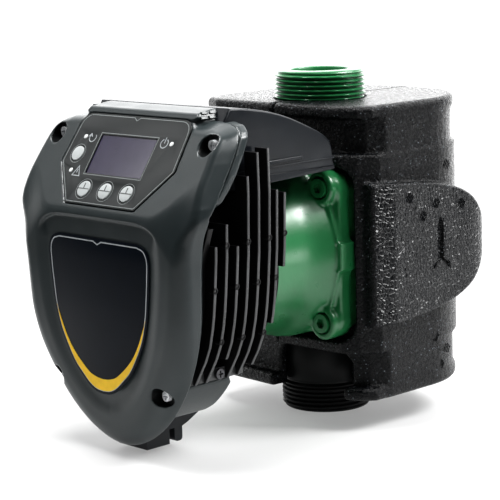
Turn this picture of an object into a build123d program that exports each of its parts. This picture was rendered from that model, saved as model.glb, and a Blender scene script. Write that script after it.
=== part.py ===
"""Wet-rotor circulator pump: threaded in-line ports, motor, inverter head and foam insulation shells.

Millimetres, +Z up along the pipe axis, origin at the centre of the lower port's end face.
The motor axis lies along Y at AXIS_Z, and the control panel faces -Y.
"""
import math
import os

from build123d import *

# ---- driving dimensions -------------------------------------------------------------------
PORT_LENGTH = 180.0          # port face to port face
AXIS_Z = PORT_LENGTH / 2     # height of the motor axis
THREAD_R = 23.9              # G 1 1/2 major radius
THREAD_ROOT_R = 22.4
THREAD_PITCH = 2.309         # 11 threads per inch
THREAD_TURNS = 6
PORT_BORE_R = 15.2
NECK_R = 21.5
WALL = 4.0                   # cast wall round the water passages

CHAMBER_R = 34.0             # impeller chamber
CHAMBER_FRONT = -28.0
CHAMBER_BACK = -7.0
PASSAGE_R = 12.5
PASSAGE_Y = 17.0             # suction passage behind the chamber
EYE_R = 12.0

FLANGE_HALF_X = 46.0
FLANGE_HALF_Z = 41.0
FLANGE_FRONT = -36.0         # front face of the motor flange
FLANGE_BACK = -28.0          # joint between motor casing and pump body
BODY_FLANGE_BACK = -22.0
BOLT_X = 37.0
BOLT_Z = 34.5
BOLT_R = 3.0

BARREL_R = 42.0              # motor casing
BARREL_FRONT = -100.0
CASING_WALL = 4.0
CAN_R = 21.0                 # stainless can between rotor and stator
CAN_WALL = 0.6
ROTOR_R = 19.8
SHAFT_R = 5.0
BEARING_R = 9.0
BEARING_CLEARANCE = 0.05
IMPELLER_R = 30.0

SHELL_HALF_X = 59.0          # insulation side planes
SHELL_FRONT = -36.0
SHELL_BOTTOM = 15.0
SHELL_TOP = PORT_LENGTH - SHELL_BOTTOM
SHELL_LIP = 6.5
SHELL_SIDE_END = 20.0        # where the flat sides turn into the round back
SHELL_REAR = 72.0
SHELL_GAP = 0.3              # clearance to the casting
BULGE_X = 65.5

PANEL_SLOPE = 0.69           # run back per rise of the display panel
PANEL_Z = 150.0              # a point of the panel's plane
PANEL_Y = -135.8
COVER_FRONT = -155.0
COVER_BACK = -141.0
COVER_WALL = 2.6
COVER_DEPTH_TOP = 12.0       # cover depth along Y on the sloped part
SEAM = 0.8                   # seal between cover and rear housing
HOUSING_DEPTH = 6.2          # depth of the rear housing's rim along Y
FOLD_Z = 122.0               # where panel and lower front meet
COVER_TOP = 172.5
COVER_BOTTOM = 7.0
COVER_HALF_X = 66.5
HEAD_HALF_X = 39.0
SHOULDER_Z = 165.5
CHIN_TOP = 80.0              # where the lower outline starts to taper
CHIN_HALF_X = 58.0
WAIST_Z = 127.0              # below this the cover narrows quickly, and the rim hides behind it
RECESS_DEPTH = 1.5
WELL_R = 4.8                 # wells of the cover screws
WELL_DEPTH = 5.7             # under the heads of the shoulder screws
LOW_WELL_DEPTH = 9.7         # and of the two low ones
WELL_WALL = 1.6
SCREW_HEAD_R = 2.5
SCREW_HEAD_LENGTH = 2.1
SCREW_SHANK_R = 1.5
CHIN_BOTTOM = 20.5
CHIN_BACK = -103.0
SOCKET_HALF_X = 10.5         # mains connector under the chin
SOCKET_FRONT = -137.0

FIN_FIRST_Y = -129.5
FIN_PITCH = 6.92
FIN_THICK = 1.8
FIN_INSETS = (0, 0, 0, 0, 0, 0, 2.0, 3.7)
FIN_TOPS = (109.3, 119.0, 107.8, 139.8, 150.3, 151.5, 131.0, 128.8)
FIN_BOTTOMS = (41.0, 41.0, 52.3, 41.0, 41.2, 45.2, 65.5, 92.5)
SINK_BOTTOM = 40.8
SINK_BASE_X = 38.0
SINK_BASE_TOP = 46.6
SINK_BASE_BACK = -97.0
SINK_SCREW_R = 1.4
SINK_SCREW_Y = -114.0
SINK_SCREW_Z = 43.7
SLEEVE_R = 47.5
SLEEVE_BACK = -80.0
RIM_BACK = -134.5            # back of the electronics housing's rim

HOOD_HALF_X = 47.0
HOOD_TOP = 171.0
HOOD_BACK = -38.5
HOOD_BOTTOM = 132.0
HOOD_FRONT_Z = 158.3         # below this the hood stands behind the rear housing
HOOD_WALL = 2.5

BUTTON_R = 3.9
KEY_R = 4.2
KEY_X = 15.6
KEY_Z = 132.7
ROUND_BUTTON_X = -31.9
ROUND_BUTTON_Z = 147.7
DISPLAY_Z = 148.4            # middle of the display window
DISPLAY_WIDTH = 41.6
DISPLAY_HEIGHT = 22.0
LED_R = 1.2
LED_HOLE_R = 1.25
OVERLAY_THICK = 0.6
LABEL_THICK = 0.5
BOARD_THICK = 1.6

PANEL_ANGLE = math.degrees(math.atan(PANEL_SLOPE))
PANEL_COS = math.cos(math.radians(PANEL_ANGLE))
HOUSING_BACK_SHIFT = COVER_DEPTH_TOP + SEAM + HOUSING_DEPTH


# ---- helpers ------------------------------------------------------------------------------
def save(name, *solids):
    """Write one node, as one solid or as a group of separate solids."""
    shape = solids[0] if len(solids) == 1 else Compound(children=list(solids))
    export_step(shape, f"parts/{name}.step")


def rod_y(radius, y_from, y_to, x=0.0, z=AXIS_Z):
    """A round bar along Y."""
    return Pos(x, (y_from + y_to) / 2, z) * Rot(90, 0, 0) * Cylinder(radius, y_to - y_from)


def rod_z(radius, z_from, z_to, x=0.0, y=0.0):
    """A round bar along Z."""
    return Pos(x, y, (z_from + z_to) / 2) * Cylinder(radius, z_to - z_from)


def block(x_from, x_to, y_from, y_to, z_from, z_to):
    """A box given by its limits."""
    centre = Pos((x_from + x_to) / 2, (y_from + y_to) / 2, (z_from + z_to) / 2)
    return centre * Box(x_to - x_from, y_to - y_from, z_to - z_from)


def ring_y(outer, inner, y_from, y_to):
    """A round ring about the motor axis."""
    return rod_y(outer, y_from, y_to) - rod_y(inner, y_from - 1, y_to + 1)


def front_plane(y):
    """The plane at y that is drawn as seen from the front: X to the right and Z up."""
    return Plane(origin=(0, y, 0), x_dir=(1, 0, 0), z_dir=(0, -1, 0))


def slab(outline, y_from, y_to):
    """Extrude an outline, drawn in X and Z, between two Y planes."""
    return extrude(front_plane(y_to) * outline, y_to - y_from, dir=(0, -1, 0))


def side_slab(points, x_from, x_to):
    """Extrude an outline, given as (y, z) points, between two X planes."""
    plane = Plane(origin=(x_from, 0, 0), x_dir=(0, 1, 0), z_dir=(1, 0, 0))
    return extrude(plane * Polygon(*points, align=None), x_to - x_from, dir=(1, 0, 0))


def plan_slab(outline, z_from, z_to):
    """Extrude an outline, drawn in X and Y, between two levels."""
    return Pos(0, 0, z_from) * extrude(outline, z_to - z_from, dir=(0, 0, 1))


def closed(*edges):
    """A face inside joined edges."""
    return make_face(list(edges))


def mirrored(points):
    """Close a half outline, given from the top centre down, with its mirror image."""
    left = [(-x, z) for x, z in reversed(points) if x > 0]
    return points + left


def panel_location(x, z, out=0.0):
    """A place on the sloped panel at height z, with local Z out of the panel."""
    origin = (x, PANEL_Y + PANEL_SLOPE * (z - PANEL_Z), z)
    plane = Plane(origin=origin, x_dir=(1, 0, 0), z_dir=(0, -PANEL_COS, PANEL_SLOPE * PANEL_COS))
    return Location(plane) * Pos(0, 0, out)


def on_panel(x, z, radius, out_from, out_to):
    """A round bar standing on the panel."""
    return panel_location(x, z, (out_from + out_to) / 2) * Cylinder(radius, out_to - out_from)


def turned_y(profile):
    """Turn a profile of (radius, y) points about the motor axis."""
    face = Plane(origin=(0, 0, AXIS_Z), x_dir=(1, 0, 0), z_dir=(0, 0, 1)) * Polygon(*profile, align=None)
    return revolve(face, Axis((0, 0, AXIS_Z), (0, 1, 0)))


def safe_fillet(solid, edges, radius):
    """Round edges, and keep them sharp where the radius doesn't fit."""
    try:
        rounded = fillet(edges, radius)
    except (ValueError, RuntimeError):
        return solid
    return rounded if rounded.is_valid else solid


# ---- pump casting and hydraulics ----------------------------------------------------------
def thread(z_face, inward):
    """Thread crests as rings, from a port's face inwards."""
    points = [(NECK_R - 1, z_face), (THREAD_ROOT_R, z_face)]
    for turn in range(THREAD_TURNS):
        start = z_face + inward * (0.8 + turn * THREAD_PITCH)
        points.append((THREAD_ROOT_R, start))
        points.append((THREAD_R, start + inward * THREAD_PITCH * 0.42))
        points.append((THREAD_R, start + inward * THREAD_PITCH * 0.55))
        points.append((THREAD_ROOT_R, start + inward * THREAD_PITCH * 0.97))
    end = z_face + inward * (2.0 + THREAD_TURNS * THREAD_PITCH)
    points.append((THREAD_ROOT_R, end))
    points.append((NECK_R - 1, end))
    return revolve(Plane.XZ * Polygon(*points, align=None), Axis.Z)


def suction_way(radius):
    """The passage from the lower port to behind the chamber, with a radius to add a wall."""
    low = Vector(0, 0, 32)
    knee = Vector(0, PASSAGE_Y, 60)
    eye = Vector(0, PASSAGE_Y, AXIS_Z)
    way = Pos(*low) * Sphere(radius)
    for start, end in ((low, knee), (knee, eye)):
        step = end - start
        middle = Plane(origin=start + step / 2, z_dir=step.normalized())
        way += Location(middle) * Cylinder(radius, step.length)
        way += Pos(*end) * Sphere(radius)
    return way


def pump_body():
    """Cast volute with the two ports in line."""
    body = rod_z(NECK_R, 0, PORT_LENGTH)
    body += rod_y(CHAMBER_R + WALL, BODY_FLANGE_BACK - 2, CHAMBER_BACK + WALL)
    body += rod_y(CHAMBER_R + WALL - 6, CHAMBER_BACK, PASSAGE_Y + PASSAGE_R)
    body += suction_way(PASSAGE_R + WALL)
    flange = RectangleRounded(2 * FLANGE_HALF_X - 2, 2 * FLANGE_HALF_Z - 2, 8)
    body += slab(Pos(0, AXIS_Z) * flange, FLANGE_BACK, BODY_FLANGE_BACK)
    body += thread(0, 1) + thread(PORT_LENGTH, -1)
    body -= rod_y(CHAMBER_R, CHAMBER_FRONT - 1, CHAMBER_BACK)
    body -= suction_way(PASSAGE_R)
    body -= rod_y(EYE_R, CHAMBER_BACK - 1, PASSAGE_Y)
    for z_low, z_high in ((-1, 32), (PORT_LENGTH - 38, PORT_LENGTH + 1)):
        body -= rod_z(PORT_BORE_R, z_low, z_high)
    outlet = Plane(origin=(0, -11, 126), z_dir=(0, 20, 36))
    body -= Location(outlet) * Cylinder(9.5, 42)
    for x in (-BOLT_X, BOLT_X):
        for z in (AXIS_Z - BOLT_Z, AXIS_Z + BOLT_Z):
            body -= rod_y(BOLT_R, FLANGE_BACK - 1, BODY_FLANGE_BACK + 1, x, z)
    return body


def impeller():
    """Closed impeller: two shrouds, curved vanes and a hub."""
    back, front = -16.5, -24.5
    hub = rod_y(9, front - 1.5, back)
    wheel = ring_y(IMPELLER_R, 7, front - 1.5, front) + hub
    wheel += ring_y(IMPELLER_R, EYE_R - 1.5, back, back + 1.5)
    wheel += ring_y(EYE_R - 1, EYE_R - 2.5, back, CHAMBER_BACK - 0.6)
    vane_count = 6
    for index in range(vane_count):
        turn = Rot(0, index * 360 / vane_count, 0)
        blade = block(9, IMPELLER_R - 0.5, front, back + 0.3, -0.8, 0.8)
        wheel += Pos(0, 0, AXIS_Z) * turn * Pos(0, 0, 4) * blade
    return wheel - rod_y(SHAFT_R, front - 2, back + 1)


def hydraulics():
    """Casting, wheel, shaft and the wet side of the motor."""
    save("pump_body", pump_body())
    save("wear_ring", ring_y(EYE_R, EYE_R - 0.7, CHAMBER_BACK - 0.5, CHAMBER_BACK + 3))
    save("impeller", impeller())
    save("rotor_shaft", rod_y(SHAFT_R, -92, -14.5))
    rotor = ring_y(ROTOR_R, SHAFT_R, -82, -44)
    save("rotor_magnet", rotor)
    save("thrust_ring", ring_y(8.5, SHAFT_R, -43.5, -41.2))
    plate = ring_y(CHAMBER_R + 2, BEARING_R, -33, CHAMBER_FRONT - 0.2)
    plate += ring_y(BEARING_R + 3, BEARING_R, -40, -33)
    save("bearing_plate", plate)
    for name, y_from, y_to in (("front_bearing", -41, -31), ("rear_bearing", -92.5, -84.5)):
        save(name, ring_y(BEARING_R, SHAFT_R + BEARING_CLEARANCE, y_from, y_to))
    can_end = -94.0
    can = ring_y(CAN_R, CAN_R - CAN_WALL, can_end, -33.2)
    can += rod_y(CAN_R, can_end, can_end + CAN_WALL)
    can += ring_y(CHAMBER_R, CAN_R - CAN_WALL, -34, -33.2)
    can += ring_y(BEARING_R + 2, BEARING_R, can_end + CAN_WALL, -84.5)
    save("rotor_can", can)
    save("body_gasket", ring_y(CHAMBER_R + 3.8, CHAMBER_R + 2.1, FLANGE_BACK - 2, FLANGE_BACK))


# ---- motor --------------------------------------------------------------------------------
def motor_casing():
    """Barrel that flares into the four-bolt flange, with bosses, webs and side lugs."""
    barrel = turned_y([
        (0, BARREL_FRONT), (BARREL_R - 3, BARREL_FRONT), (BARREL_R, -84), (BARREL_R, -58),
        (BARREL_R + 0.8, -48), (BARREL_R + 2, -42), (BARREL_R + 2, FLANGE_BACK - 4), (0, FLANGE_BACK - 4)])
    flange = RectangleRounded(2 * FLANGE_HALF_X, 2 * FLANGE_HALF_Z, 9)
    casing = barrel + slab(Pos(0, AXIS_Z) * flange, FLANGE_FRONT, FLANGE_BACK)
    for side in (-1, 1):
        lug = (side * (FLANGE_HALF_X - 1), side * (FLANGE_HALF_X + 3))
        casing += block(min(lug), max(lug), FLANGE_FRONT - 1, FLANGE_BACK, AXIS_Z - 7, AXIS_Z + 6)
        for rise in (-1, 1):
            casing += rod_y(8.5, FLANGE_FRONT - 3, FLANGE_BACK, side * BOLT_X, AXIS_Z + rise * BOLT_Z)
    casing -= turned_y([
        (0, BARREL_FRONT + 5), (BARREL_R - 8, BARREL_FRONT + 5), (BARREL_R - CASING_WALL, -80),
        (BARREL_R - CASING_WALL, FLANGE_BACK + 1), (0, FLANGE_BACK + 1)])
    for side in (-1, 1):
        for rise in (-1, 1):
            x, z = side * BOLT_X, AXIS_Z + rise * BOLT_Z
            casing -= rod_y(BOLT_R + 0.2, FLANGE_FRONT - 5, FLANGE_BACK + 1, x, z)
            casing -= rod_y(5.4, FLANGE_FRONT - 12, FLANGE_FRONT - 1, x, z)
    return casing


def socket_screw(head_r, head_length, shank_r, shank_length):
    """A socket-head screw along -Z, with its head's underside at the origin."""
    head = Pos(0, 0, head_length / 2) * Cylinder(head_r, head_length)
    shank = Pos(0, 0, -shank_length / 2) * Cylinder(shank_r, shank_length)
    recess = extrude(RegularPolygon(head_r * 0.55, 6), head_length * 0.6)
    return head + shank - Pos(0, 0, head_length * 0.45) * recess


def cross_screw(head_r, head_length, shank_r, shank_length):
    """A pan-head screw along -Z with a cross recess."""
    head = Pos(0, 0, head_length / 2) * Cylinder(head_r, head_length)
    shank = Pos(0, 0, -shank_length / 2) * Cylinder(shank_r, shank_length)
    cross = Box(head_r * 1.3, head_r * 0.3, head_length) + Box(head_r * 0.3, head_r * 1.3, head_length)
    return head + shank - Pos(0, 0, head_length) * cross


def motor():
    """Casing, its bolts and the stator."""
    save("motor_casing", motor_casing())
    facing_front = Rot(90, 0, 0)
    bolts = []
    for x in (-BOLT_X, BOLT_X):
        for z in (AXIS_Z - BOLT_Z, AXIS_Z + BOLT_Z):
            screw = socket_screw(4.9, 5.0, BOLT_R - 0.1, 14)
            bolts.append(Pos(x, FLANGE_FRONT - 1, z) * facing_front * screw)
    save("motor_bolts", *bolts)
    core = ring_y(BARREL_R - CASING_WALL, CAN_R + 0.2, -79, -47)
    slot_count = 6
    for index in range(slot_count):
        slot = block(CAN_R + 3, BARREL_R - CASING_WALL - 5, -80, -46, -4, 4)
        core -= Pos(0, 0, AXIS_Z) * Rot(0, index * 360 / slot_count, 0) * slot
    save("stator_core", core)
    windings = []
    for index in range(slot_count):
        coil = block(CAN_R + 3.2, BARREL_R - CASING_WALL - 5.2, -88, -38, -3.8, 3.8)
        windings.append(Pos(0, 0, AXIS_Z) * Rot(0, index * 360 / slot_count, 0) * coil)
    save("stator_windings", *windings)


# ---- insulation ---------------------------------------------------------------------------
def shell_outline(front_inset=0.0, corner_cut=0.0, rear_inset=0.0):
    """Plan of the two shells together: a bowed front, cut corners, flat sides and a round back."""
    front = SHELL_FRONT + front_inset
    side = SHELL_HALF_X - 0.2 * rear_inset
    corner = [(44 - 0.2 * front_inset, front + 2), (side - 5 - corner_cut / 2, front + 6 + corner_cut / 4),
              (side, front + 12 + corner_cut), (side, SHELL_SIDE_END)]
    apex = (0, SHELL_REAR - rear_inset)
    knee = (side * 0.78, SHELL_SIDE_END + (SHELL_REAR - rear_inset - SHELL_SIDE_END) * 0.63)
    right = [Line(a, b) for a, b in zip([(0, front)] + corner, corner)]
    right.append(Spline((side, SHELL_SIDE_END), knee, apex, tangents=((0, 1), (-1, 0))))
    return closed(*right, *[mirror(edge, Plane.YZ) for edge in right])


def bulge():
    """Raised D-shaped cheeks over the volute, on both sides."""
    front, nose, tip = -28, 36, 66
    half_front, half_nose = 37, 28
    edges = [
        Line((front, AXIS_Z - half_front), (front, AXIS_Z + half_front)),
        Line((front, AXIS_Z + half_front), (nose, AXIS_Z + half_nose)),
        ThreePointArc((nose, AXIS_Z + half_nose), (tip, AXIS_Z), (nose, AXIS_Z - half_nose)),
        Line((nose, AXIS_Z - half_nose), (front, AXIS_Z - half_front))]
    plane = Plane(origin=(-BULGE_X, 0, 0), x_dir=(0, 1, 0), z_dir=(1, 0, 0))
    cheeks = extrude(plane * closed(*edges), 2 * BULGE_X, dir=(1, 0, 0))
    corner_r = 25
    right = [
        Line((0, front), (60, front)),
        Line((60, front), (BULGE_X, front + 12)),
        Line((BULGE_X, front + 12), (BULGE_X, tip - corner_r)),
        RadiusArc((BULGE_X, tip - corner_r), (BULGE_X - corner_r, tip), -corner_r),
        Line((BULGE_X - corner_r, tip), (0, tip))]
    plan = closed(*right, *[mirror(edge, Plane.YZ) for edge in right])
    return cheeks & plan_slab(plan, 0, PORT_LENGTH)


def insulation():
    """Foam shells: lips at top and bottom, stepped bands, cheeks, flow arrows and the cavity."""
    middle = AXIS_Z
    outer = plan_slab(shell_outline(7, 3, 3.5), SHELL_BOTTOM, SHELL_TOP)
    outer += plan_slab(shell_outline(), SHELL_BOTTOM, SHELL_BOTTOM + SHELL_LIP)
    outer += plan_slab(shell_outline(), SHELL_TOP - SHELL_LIP, SHELL_TOP)
    band_half = 50.8
    outer += plan_slab(shell_outline(0, 4, -1.4), middle - band_half, middle + band_half)
    outer += bulge()
    cavity = rod_z(THREAD_R + SHELL_GAP, 0, PORT_LENGTH)
    cavity += rod_y(CHAMBER_R + WALL + SHELL_GAP, SHELL_FRONT - 1, CHAMBER_BACK + WALL + SHELL_GAP)
    cavity += rod_y(CHAMBER_R + WALL - 6 + SHELL_GAP, CHAMBER_BACK, PASSAGE_Y + PASSAGE_R + SHELL_GAP)
    cavity += suction_way(PASSAGE_R + WALL + SHELL_GAP)
    opening = RectangleRounded(2 * FLANGE_HALF_X + 8, 2 * FLANGE_HALF_Z + 8, 10)
    cavity += slab(Pos(0, AXIS_Z) * opening, SHELL_FRONT - 5, BODY_FLANGE_BACK + SHELL_GAP)
    outer -= cavity
    arrow_points = [(19, 104), (21.5, 100), (21.5, 82), (25.5, 80), (25.5, 78.5), (19, 84),
                    (12.5, 78.5), (12.5, 80), (16.5, 82), (16.5, 100)]
    depth = 2.0
    for x in (-BULGE_X - 1, BULGE_X - depth):
        outer -= side_slab(arrow_points, x, x + depth + 1)
    big = 2 * PORT_LENGTH
    split_gap = 0.2
    save("insulation_right", outer - block(-big, split_gap, -big, big, -big, big))
    save("insulation_left", outer - block(-split_gap, big, -big, big, -big, big))


# ---- electronics head ---------------------------------------------------------------------
def chin_point(turn, inset):
    """A point of the cover's lower outline, a slightly pointed half ellipse, drawn in by an inset."""
    power = 1.8
    depth = CHIN_TOP - COVER_BOTTOM
    across, down = math.cos(math.radians(turn)), math.sin(math.radians(turn))
    out = Vector(across ** (2 - 2 / power) / CHIN_HALF_X, -down ** (2 - 2 / power) / depth).normalized()
    x = CHIN_HALF_X * across ** (2 / power) - inset * out.X
    z = CHIN_TOP - depth * down ** (2 / power) - inset * out.Y
    return (x, z)


def cover_outline(inset=0.0):
    """Front outline of the cover: display head, round shoulders, waist and a tapering chin."""
    side = COVER_HALF_X - inset
    head = HEAD_HALF_X - inset
    top = COVER_TOP - inset
    shoulder = SHOULDER_Z - inset
    right = [
        Line((0, top), (head - 1.5, top)),
        Line((head - 1.5, top), (head + 2.6, shoulder)),
        Line((head + 2.6, shoulder), (side - 16, shoulder - 0.5)),
        ThreePointArc((side - 16, shoulder - 0.5), (side - 5.5, shoulder - 5), (side - 1.9, shoulder - 17)),
        Line((side - 1.9, shoulder - 17), (side, WAIST_Z)),
        Spline((side, WAIST_Z), (side - 5.2, 115), (side - 7.1, 104),
               *[chin_point(turn, inset) for turn in (0, 20, 36, 52, 66, 78, 90)])]
    left = [mirror(edge, Plane.YZ) for edge in right]
    return closed(*right, *left)


def head_space(y_lower, y_panel_shift):
    """Everything behind the lower front plane and behind the sloped panel plane."""
    far = 60.0
    high = COVER_TOP + 40
    slope_start = PANEL_Z + (y_lower - y_panel_shift - PANEL_Y) / PANEL_SLOPE
    top_y = y_panel_shift + PANEL_Y + PANEL_SLOPE * (high - PANEL_Z)
    points = [(y_lower, -far), (y_lower, slope_start), (top_y, high), (far, high), (far, -far)]
    return side_slab(points, -2 * COVER_HALF_X, 2 * COVER_HALF_X)


def screw_places():
    """Cover screws: two on the sloped shoulders and two low on the front."""
    return [(side * x, z) for x, z in ((54.3, 156.0), (37.7, 39.0)) for side in (-1, 1)]


def face_y(z):
    """The cover's front face at a height, on the lower front or on the sloped panel."""
    return COVER_FRONT if z < FOLD_Z else PANEL_Y + PANEL_SLOPE * (z - PANEL_Z)


def well_floor(z):
    """Where the head of a cover screw rests."""
    return face_y(z) + (LOW_WELL_DEPTH if z < FOLD_Z else WELL_DEPTH)


def front_cover():
    """Shell of the control head, with the label recess, the screw wells and the display openings."""
    blank = slab(cover_outline(), COVER_FRONT - 5, 0)
    outer = blank & head_space(COVER_FRONT, 0)
    inner = slab(cover_outline(COVER_WALL), COVER_FRONT - 5, 0) & head_space(COVER_FRONT + COVER_WALL, 3.2)
    behind = head_space(COVER_BACK, COVER_DEPTH_TOP)
    cover = outer - behind
    front_edges = cover.edges().filter_by(lambda e: e.center().Y < COVER_FRONT + 0.5)
    cover = safe_fillet(cover, front_edges, 4)
    recess = [(0, 120), (38, 118), (45, 110), (44, 84), (37.5, 55), (21, 32), (0, 24)]
    cover -= slab(Polygon(*mirrored(recess), align=None), COVER_FRONT - 8, COVER_FRONT + RECESS_DEPTH)
    cover -= inner
    for x, z in screw_places():
        y_face = face_y(z)
        cover += rod_y(WELL_R + WELL_WALL, y_face + 3, y_face + COVER_DEPTH_TOP, x, z) & blank
        cover -= rod_y(WELL_R, y_face - 6, well_floor(z), x, z)
        cover -= rod_y(SCREW_SHANK_R + 0.3, y_face - 6, y_face + COVER_DEPTH_TOP + 1, x, z)
    cover -= panel_location(0, DISPLAY_Z) * Box(DISPLAY_WIDTH + 2.4, DISPLAY_HEIGHT + 1, 12)
    for x, z, radius in key_places():
        cover -= on_panel(x, z, radius + 0.4, -6, 3)
    for x, z in led_places():
        cover -= on_panel(x, z, LED_HOLE_R, -6, 3)
    return cover - behind


def key_places():
    """The four push buttons: place and radius."""
    keys = [(side * KEY_X, KEY_Z, KEY_R) for side in (-1, 0, 1)]
    return [(ROUND_BUTTON_X, ROUND_BUTTON_Z, BUTTON_R)] + keys


def led_places():
    """The three status lamps."""
    return [(-31.8, 155.4), (-31.5, 140.1), (31.1, 155.5)]


def overlay():
    """Membrane with the window, the lamp holes and the button holes."""
    points = [(0, 19.7), (34, 19.7), (38.7, 15), (41.4, -7.5), (25.4, -29), (0, -29)]
    sheet = plan_slab(Polygon(*mirrored(points), align=None), 0, OVERLAY_THICK)
    sheet = panel_location(0, PANEL_Z) * sheet
    sheet -= panel_location(0, DISPLAY_Z) * Box(DISPLAY_WIDTH + 0.4, DISPLAY_HEIGHT + 0.4, 4)
    for x, z, radius in key_places():
        sheet -= on_panel(x, z, radius + 0.35, -2, 3)
    for x, z in led_places():
        sheet -= on_panel(x, z, LED_HOLE_R, -2, 3)
    return sheet


def fin_face(index):
    """Outer outline of one pair of fins, seen from the front."""
    inset = FIN_INSETS[index]
    top, bottom = FIN_TOPS[index], FIN_BOTTOMS[index]
    side = [(57.0, 160), (57.3, 131), (54.8, 86), (50.2, 60.8), (39.2, SINK_BOTTOM)]
    curve = Spline(*[(x - inset, z) for x, z in side])
    right = [curve, Line((39.2 - inset, SINK_BOTTOM), (0, SINK_BOTTOM)), Line((57.0 - inset, 160), (0, 160))]
    face = closed(*right, *[mirror(edge, Plane.YZ) for edge in right])
    return face & Pos(0, (top + bottom) / 2) * Rectangle(2 * COVER_HALF_X, top - bottom)


def cooling_fins():
    """Fin plates beside the sleeve, each a solid of its own."""
    fins = []
    clear = 0.05
    hood_side = HOOD_HALF_X + 1.7
    for index in range(len(FIN_TOPS)):
        y = FIN_FIRST_Y + index * FIN_PITCH
        pair = slab(fin_face(index), y - FIN_THICK / 2, y + FIN_THICK / 2)
        pair -= rod_y(SLEEVE_R + clear, y - 2, y + 2)
        pair -= block(-hood_side, hood_side, y - 2, y + 2, HOOD_BOTTOM - 1.5, 200)
        pair -= block(-SINK_BASE_X - clear, SINK_BASE_X + clear, y - 2, y + 2, 0, SINK_BASE_TOP + clear)
        pair -= block(-30, 30, y - 2, y + 2, 0, 200)
        pair &= head_space(RIM_BACK + 4.4, HOUSING_BACK_SHIFT + 0.4)
        fins += pair.solids()
    return fins


def heat_sink():
    """Sleeve over the motor's front, with a base and the plate that the electronics lie on."""
    sink = slab(cover_outline(9.5), RIM_BACK + 0.2, RIM_BACK + 4.2)
    sink &= block(-80, 80, -200, 0, SINK_BOTTOM + 0.2, 200)
    sink += ring_y(SLEEVE_R, BARREL_R + 0.15, RIM_BACK + 2, SLEEVE_BACK)
    sink += block(-SINK_BASE_X, SINK_BASE_X, RIM_BACK + 2, SINK_BASE_BACK, SINK_BOTTOM, SINK_BASE_TOP)
    sink &= head_space(RIM_BACK + 0.2, HOUSING_BACK_SHIFT + 0.4)
    sink -= rod_y(BARREL_R + 0.15, BARREL_FRONT - 0.2, SLEEVE_BACK + 5)
    for side in (-1, 1):
        place = Pos(side * SINK_BASE_X, SINK_SCREW_Y, SINK_SCREW_Z) * Rot(0, 90, 0)
        sink -= place * Cylinder(SINK_SCREW_R, 11)
    return sink


def rear_housing():
    """Rim behind the cover that carries the boards; below the waist it steps in behind the cover."""
    low_step = 6.0
    front_space = head_space(COVER_BACK + SEAM, COVER_DEPTH_TOP + SEAM)
    upper = block(-80, 80, COVER_FRONT, 0, WAIST_Z, 200)
    outer = (slab(cover_outline(1.5), COVER_FRONT, 0) & upper) + slab(cover_outline(low_step), COVER_FRONT, 0)
    inner = slab(cover_outline(1.5 + COVER_WALL), COVER_FRONT, 0) & upper
    inner += slab(cover_outline(low_step + COVER_WALL), COVER_FRONT, 0)
    outer &= front_space
    outer -= head_space(RIM_BACK, HOUSING_BACK_SHIFT)
    rim = outer - (inner - head_space(RIM_BACK - 2, HOUSING_BACK_SHIFT - 2))
    for x, z in screw_places():
        y = COVER_BACK if z < FOLD_Z else face_y(z) + COVER_DEPTH_TOP
        rim += rod_y(4, y - 3, y + 9, x, z) & outer
        rim -= rod_y(SCREW_SHANK_R + 0.05, y - 3, y + 9, x, z)
    hood_side = HOOD_HALF_X + 0.3
    rim -= block(-hood_side, hood_side, -150, 0, HOOD_FRONT_Z, 200)
    rim = rim.solids().sort_by(SortBy.VOLUME)[-1]
    return rim - block(-17, 17, RIM_BACK - 3, RIM_BACK + 1, 55, 73)


def hood():
    """Cover over the motor's top, behind the head, open underneath."""
    front = -125
    outside = [(HOOD_BACK, 150.5), (-73, 164), (-100, 170), (front, HOOD_TOP), (front, HOOD_BOTTOM),
               (HOOD_BACK, HOOD_BOTTOM + 3)]
    room = head_space(RIM_BACK, HOUSING_BACK_SHIFT + 0.3) + block(-80, 80, -150, 0, HOOD_FRONT_Z + 0.3, 200)
    room &= head_space(COVER_BACK, COVER_DEPTH_TOP + SEAM + 0.1)
    body = side_slab(outside, -HOOD_HALF_X, HOOD_HALF_X) & room
    hollow = [(HOOD_BACK - 3, 148), (-73, 161), (-100, 167.3), (front, 168.3), (front, 120),
              (HOOD_BACK - 3, 120)]
    inside = side_slab(hollow, -HOOD_HALF_X + HOOD_WALL, HOOD_HALF_X - HOOD_WALL)
    body -= inside & head_space(RIM_BACK, HOUSING_BACK_SHIFT + 0.3 + HOOD_WALL)
    body -= rod_y(BARREL_R + 6, -125, -30)
    for side in (-1, 1):
        rail = (side * (HOOD_HALF_X - 1), side * (HOOD_HALF_X + 1.2))
        body += block(min(rail), max(rail), -88, -64, 140.5, 142.5)
    return body


def connector_profile():
    """Side profile of the mains connector: a plug face, a gap and a rising rear."""
    front = SOCKET_FRONT
    return [(front, 5.6), (front + 14.6, 5.6), (front + 14.6, 13), (front + 23, 13), (front + 27, 14.5),
            (front + 35, 18.5), (front + 35, 23.8), (front + 3, 23.8), (front + 3, 11.2), (front, 11.2)]


def chin():
    """Lower compartment behind the cover, with the connector's opening underneath."""
    box = slab(cover_outline(7), RIM_BACK + 0.2, CHIN_BACK)
    box &= block(-60, 60, -150, -90, CHIN_BOTTOM, SINK_BOTTOM)
    opening = block(-SOCKET_HALF_X - 0.2, SOCKET_HALF_X + 0.2, -150, -101, 0, 24)
    return box - opening


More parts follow.
